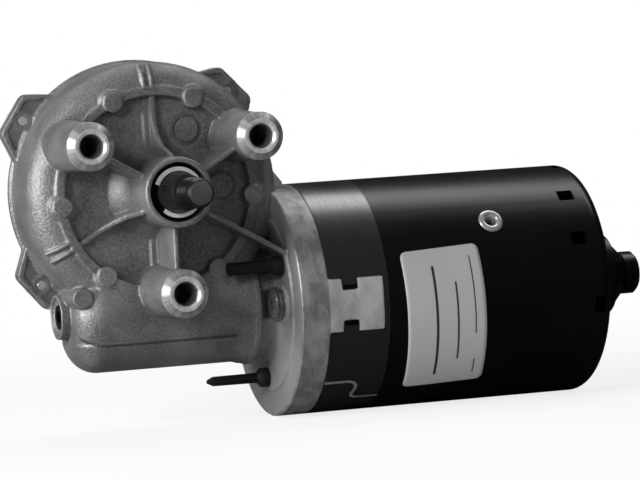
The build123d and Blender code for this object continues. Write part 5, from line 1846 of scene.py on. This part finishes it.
@dataclass
class MotorCan:
    """The can's slots, wavy seam and label. Sizes in millimetres, angles in degrees below the front."""

    radius: float = 38.9
    label_x: float = 90.9
    label_angle: float = 13.9
    label_width: float = 27.8
    label_height: float = 50.6
    label_tilt: float = 3.05
    label_corner: float = 2.2
    label_lift: float = 0.02
    label_sheet: float = 0.14
    tongue_angles: tuple[float, ...] = (1.5, 181.5)
    waist_half_width: float = 5.1
    slot_height: float = 1.7
    slot_depth: float = 1.1
    slot_ends: Point = (54.75, 59.55)
    seam_start: float = 49.9
    seam_band_end: float = 70.5
    seam_end: float = 142.5
    seam_period: float = 25.7
    seam_upper: float = 44.2
    seam_lower: float = 58.0
    seam_wave: tuple[Point, ...] = (
        (58.4, 0.0), (60.2, 0.07), (61.2, 0.20), (61.4, 0.42), (60.7, 0.70), (61.0, 0.90), (62.7, 1.0),
        (72.0, 1.0), (73.7, 0.90), (74.0, 0.70), (73.3, 0.42), (73.5, 0.20), (74.5, 0.07), (76.3, 0.0),
    )
    seam_spacing: float = 0.4
    bare_seam_width: float = 1.25
    painted_seam_width: float = 0.8
    seam_rise: float = 0.13

    def build(self, shop: Workshop) -> None:
        """Makes the pieces on the can.

        Args:
            shop: The workshop.
        """
        self.body(shop)
        self.label(shop)
        self.seam(shop)

    def body(self, shop: Workshop) -> None:
        """Cuts the slots between the tongues' waists and the lugs of the can, which the can's finish darkens
        as painted shade.

        Args:
            shop: The workshop.
        """
        can = mesh_object("can", written(from_node("motor_can"), "can"), shop.finishes["can_paint"])
        piece = cut_out(can, self.slot_cutter(), "slotted_can")
        shade_by_angle(piece, 35)
        shop.keep(piece, Body.CASE, "can_paint", "motor_can")

    def slot_cutter(self) -> Piece:
        """Makes the blocks that cut the slots.

        Returns:
            One object of four blocks.
        """
        build = bmesh.new()
        low, high = self.slot_ends
        middle = (low + high) / 2
        size = Matrix.Diagonal((6 * MM, self.slot_height * MM, (high - low) * MM, 1))
        arc = math.degrees((self.waist_half_width + self.slot_height / 2) / self.radius)
        for tongue in self.tongue_angles:
            for angle in (tongue - arc, tongue + arc):
                place = around(MOTOR, angle, self.radius + 3 - self.slot_depth, middle)
                bmesh.ops.create_cube(build, size=1.0, matrix=place @ size)
        return mesh_object("slot_cutter", sealed(build, "slot_cutter", smooth=False))

    def seam_points(self, low: float, high: float) -> list[Point]:
        """Follows the wavy butt seam along a stretch of the can.

        Args:
            low: Where the stretch starts.
            high: Where it ends.

        Returns:
            (x, share) points, where share runs from 0 on the upper line to 1 on the lower one.
        """
        wave = [(self.seam_start, 0.0)]
        for turn in range(4):
            wave += [(x + turn * self.seam_period, share) for x, share in self.seam_wave]
        fine = []
        for (x, share), (after, share_after) in zip(wave, wave[1:]):
            stretch = max(abs(after - x), 9 * abs(share_after - share))
            steps = max(1, round(stretch / self.seam_spacing))
            for step in range(steps):
                part = step / steps
                fine.append((x + (after - x) * part, share + (share_after - share) * part))
        return [point for point in fine if low <= point[0] <= high]

    def seam(self, shop: Workshop) -> None:
        """Makes the can's seam: wide and bright on the bare band, thin beyond it.

        Args:
            shop: The workshop.
        """
        stretches = (
            ("seam_on_band", self.seam_start, self.seam_band_end, self.bare_seam_width, "seam_metal"),
            ("seam_painted", self.seam_band_end, self.seam_end, self.painted_seam_width, "can_paint"),
        )
        for name, low, high, width, finish in stretches:
            build = bmesh.new()
            spread = self.seam_lower - self.seam_upper
            verts = []
            for x, share in self.seam_points(low, high):
                arc = math.radians(self.seam_upper + spread * share) * self.radius
                verts.append(build.verts.new(self.on_can(x, arc, self.seam_rise - width)))
            for first, second in zip(verts, verts[1:]):
                build.edges.new((first, second))
            chain = mesh_object(f"{name}_chain", written(build, name))
            line = shop.line.run(chain, name, shop.finishes[finish], Width=width * MM,
                                 Spacing=self.seam_spacing * MM)
            shop.keep(line, Body.CASE, "can_paint")

    def on_can(self, x: float, arc: float, lift: float) -> Vector:
        """Places a point on the can.

        Args:
            x: Place along the motor's axis.
            arc: Distance round the can from the front, positive downwards.
            lift: Height over the can.

        Returns:
            The point in metres.
        """
        angle = arc / self.radius
        reach = (self.radius + lift) * MM
        return MOTOR @ Vector((reach * math.cos(angle), reach * math.sin(angle), x * MM))

    def label(self, shop: Workshop) -> None:
        """Makes the tilted label with round corners and its own UV map.

        Args:
            shop: The workshop.
        """
        columns, rows = 24, 72
        build = bmesh.new()
        layer = build.loops.layers.uv.new("label")
        middle = math.radians(self.label_angle) * self.radius
        tilt = math.radians(self.label_tilt)
        grid, places = [], {}
        for row in range(rows + 1):
            share = (1 - math.cos(math.pi * row / rows)) / 2
            down = (share - 0.5) * self.label_height
            gap = self.label_height / 2 - abs(down)
            inset = max(0.0, self.label_corner - gap)
            short = self.label_corner - math.sqrt(max(0.0, self.label_corner**2 - inset**2))
            half = self.label_width / 2 - short
            line = []
            for column in range(columns + 1):
                across = (2 * column / columns - 1) * half
                x = self.label_x + across * math.cos(tilt) + down * math.sin(tilt)
                arc = middle + down * math.cos(tilt) - across * math.sin(tilt)
                vert = build.verts.new(self.on_can(x, arc, self.label_lift))
                places[vert] = (across / self.label_width + 0.5, 0.5 - down / self.label_height)
                line.append(vert)
            grid.append(line)
        for upper, lower in zip(grid, grid[1:]):
            for column in range(columns):
                face = build.faces.new((upper[column], upper[column + 1], lower[column + 1], lower[column]))
                for loop in face.loops:
                    loop[layer].uv = places[loop.vert]
        mesh = sealed(build, "label_sheet")
        sheet = mesh_object("label_sheet", mesh, shop.finishes["label_foil"])
        outward = sum((face.normal.dot(face.center - MOTOR.translation) for face in mesh.polygons), 0.0)
        thick = sheet.modifiers.new("thick", "SOLIDIFY")
        thick.thickness = self.label_sheet * MM
        thick.offset = 1.0 if outward > 0 else -1.0
        shop.keep(baked(sheet, "foil_label"), Body.CASE, "label_foil", "rating_label")


# Studio


@dataclass(frozen=True)
class Lamp:
    """An area light. Sizes in metres, power in watts."""

    name: str
    place: tuple[float, float, float]
    aim: tuple[float, float, float]
    size: Point
    power: float
    glossy: bool = True

    def build(self) -> None:
        """Puts the light in the scene, out of the camera's sight."""
        data = bpy.data.lights.new(self.name, "AREA")
        data.shape = "RECTANGLE"
        data.size, data.size_y = self.size
        data.energy = self.power
        light = bpy.data.objects.new(self.name, data)
        light.location = self.place
        light.rotation_euler = (Vector(self.aim) - Vector(self.place)).to_track_quat("-Z", "Y").to_euler()
        bpy.context.scene.collection.objects.link(light)
        light.visible_camera = False
        light.visible_glossy = self.glossy


# A long soft box overhead, two lamps at the left and a weaker fill in front
LAMPS = (
    Lamp("overhead", (0.42, 0.46, 1.02), (0.05, 0.04, -0.02), (1.6, 0.38), 6.6),
    Lamp("left_side", (-1.42, -0.20, 0.33), (0.0, 0.04, -0.03), (0.6, 0.6), 29.0),
    Lamp("left_key", (-1.05, -1.00, 0.62), (0.02, 0.04, -0.03), (0.3, 0.3), 15.0, glossy=False),
    Lamp("front_fill", (0.3, -1.6, 0.5), (0.05, 0.04, -0.03), (1.2, 1.0), 5.0, glossy=False),
)


@dataclass(frozen=True)
class Studio:
    """Camera, floor, world and lights. Sizes in millimetres, angles in degrees, levels from 0 to 1."""

    azimuth: float = -18.57
    elevation: float = 2.71
    roll: float = 3.37
    distance: float = 1249.0
    pixels_per_mm: float = 3.099
    aim_right: float = 44.9
    aim_up: float = -15.4
    image_width: int = 640
    sensor: float = 36.0
    floor_half: float = 12000.0
    floor_gap: float = 0.3
    floor_glow: float = 0.80
    floor_near: float = 220.0
    floor_far: float = 550.0
    floor_mirrored: float = 0.02
    world_low: float = 0.018
    world_high: float = 0.075
    world_side: tuple[float, float, float] = (-0.60, -0.35, 0.72)

    def build(self) -> None:
        """Sets up everything round the part."""
        self.camera()
        self.floor()
        self.world()
        for lamp in LAMPS:
            lamp.build()
        bpy.context.scene.view_settings.view_transform = "Standard"

    def camera(self) -> None:
        """Makes the camera at the photograph's angle."""
        az, el, roll = (math.radians(v) for v in (self.azimuth, self.elevation, self.roll))
        back = Vector((math.sin(az) * math.cos(el), -math.cos(az) * math.cos(el), math.sin(el)))
        right = Vector((math.cos(az), math.sin(az), 0))
        up = back.cross(right)
        tilt, level = math.sin(roll), math.cos(roll)
        right, up = level * right - tilt * up, tilt * right + level * up
        eye = (self.aim_right * right + self.aim_up * up + self.distance * back) * MM
        data = bpy.data.cameras.new("camera")
        data.sensor_width = self.sensor
        data.lens = self.pixels_per_mm * self.distance / self.image_width * self.sensor
        data.clip_end = 50
        camera = bpy.data.objects.new("camera", data)
        camera.matrix_world = Matrix((
            (right.x, up.x, back.x, eye.x),
            (right.y, up.y, back.y, eye.y),
            (right.z, up.z, back.z, eye.z),
            (0, 0, 0, 1),
        ))
        bpy.context.scene.collection.objects.link(camera)
        bpy.context.scene.camera = camera

    def floor(self) -> None:
        """Makes the pale floor under the part."""
        build = bmesh.new()
        low = CAD_BOX[0][2] - self.floor_gap * MM
        bmesh.ops.create_grid(build, x_segments=1, y_segments=1, size=self.floor_half * MM,
                              matrix=Matrix.Translation((0, 0, low)))
        shade = Shade("pale_floor", roughness=0.9)
        pale = shade.mix(shade.noise(shade.coords, 3.0), 0.84, 0.87)
        mirrored = shade.add("ShaderNodeLightPath").outputs["Is Glossy Ray"]
        shade.colour(shade.mix(mirrored, pale, self.floor_mirrored))
        shade.bsdf.inputs["Specular IOR Level"].default_value = 0.0
        away = shade.vector("LENGTH", shade.coords).outputs["Value"]
        far = shade.between(away, self.floor_near * MM, self.floor_far * MM)
        plain = shade.math("MULTIPLY_ADD", far, 1.0 - self.floor_glow, self.floor_glow)
        glow = shade.add("ShaderNodeEmission", {"Color": grey(1.0)})
        share = shade.math("MULTIPLY", shade.seen(), plain)
        blend = shade.add("ShaderNodeMixShader", {0: share, 1: shade.bsdf.outputs[0], 2: glow.outputs[0]})
        shade.feed(shade.out.inputs["Surface"], blend.outputs[0])
        plane = mesh_object("floor", sealed(build, "floor", smooth=False), shade.material)

    def world(self) -> None:
        """Makes the white background and the grey studio round the part."""
        world = bpy.data.worlds.new("studio")
        world.use_nodes = True
        nodes = Nodes(world.node_tree)
        nodes.tree.nodes.clear()
        direction = nodes.add("ShaderNodeTexCoord").outputs["Generated"]
        facing = nodes.vector("DOT_PRODUCT", direction, self.world_side).outputs["Value"]
        inputs = {"Value": facing, "From Min": -0.1, "From Max": 1.0,
                  "To Min": self.world_low, "To Max": self.world_high}
        level = nodes.add("ShaderNodeMapRange", inputs)
        room = nodes.add("ShaderNodeBackground", {"Color": level.outputs[0]})
        white = nodes.add("ShaderNodeBackground", {"Color": grey(1.0)})
        pick = nodes.add("ShaderNodeMixShader", {0: nodes.seen(), 1: room.outputs[0], 2: white.outputs[0]})
        nodes.add("ShaderNodeOutputWorld", {"Surface": pick.outputs[0]})
        bpy.context.scene.world = world


def dress_nodes(finishes: dict[str, Material]) -> None:
    """Gives every CAD node the finish of its slot, or its own.

    Args:
        finishes: The finishes by slot.
    """
    for part in frame["record"]["subparts"]:
        node = frame["nodes"][part["node"]]
        node.data.materials.clear()
        node.data.materials.append(finishes[NODE_FINISHES.get(part["node"], part["material_slot"])])


def make_finishes(effects: Effects) -> dict[str, Material]:
    """Builds every material.

    Args:
        effects: The shared effects.

    Returns:
        The materials by slot or by name.
    """
    finishes = {key: finish.build(effects) for key, finish in FINISHES.items()}
    case = GearCase()
    for index in range(3):
        name = f"boss_end_{index + 1}"
        finishes[name] = Turned(name, centre=tuple(case.boss_place(index).translation)).build(effects)
    return finishes


def main() -> None:
    """Builds the finishes, the sub-assemblies and the studio in order."""
    logging.basicConfig(level=logging.INFO, format="%(name)s %(message)s")
    effects = Effects(grain_effect(), edge_wear_and_light_effect(), turning_effect())
    finishes = make_finishes(effects)
    dress_nodes(finishes)
    shop = Workshop(finishes, polar_tree(), helix_tree(), line_tree())
    for kind in (GearCase, OutputShaft, Fasteners, RubberPlugs, Rivets, BrushSprings, MotorCan):
        kind().build(shop)
    Studio().build()


if __name__ == "__main__":
    main()
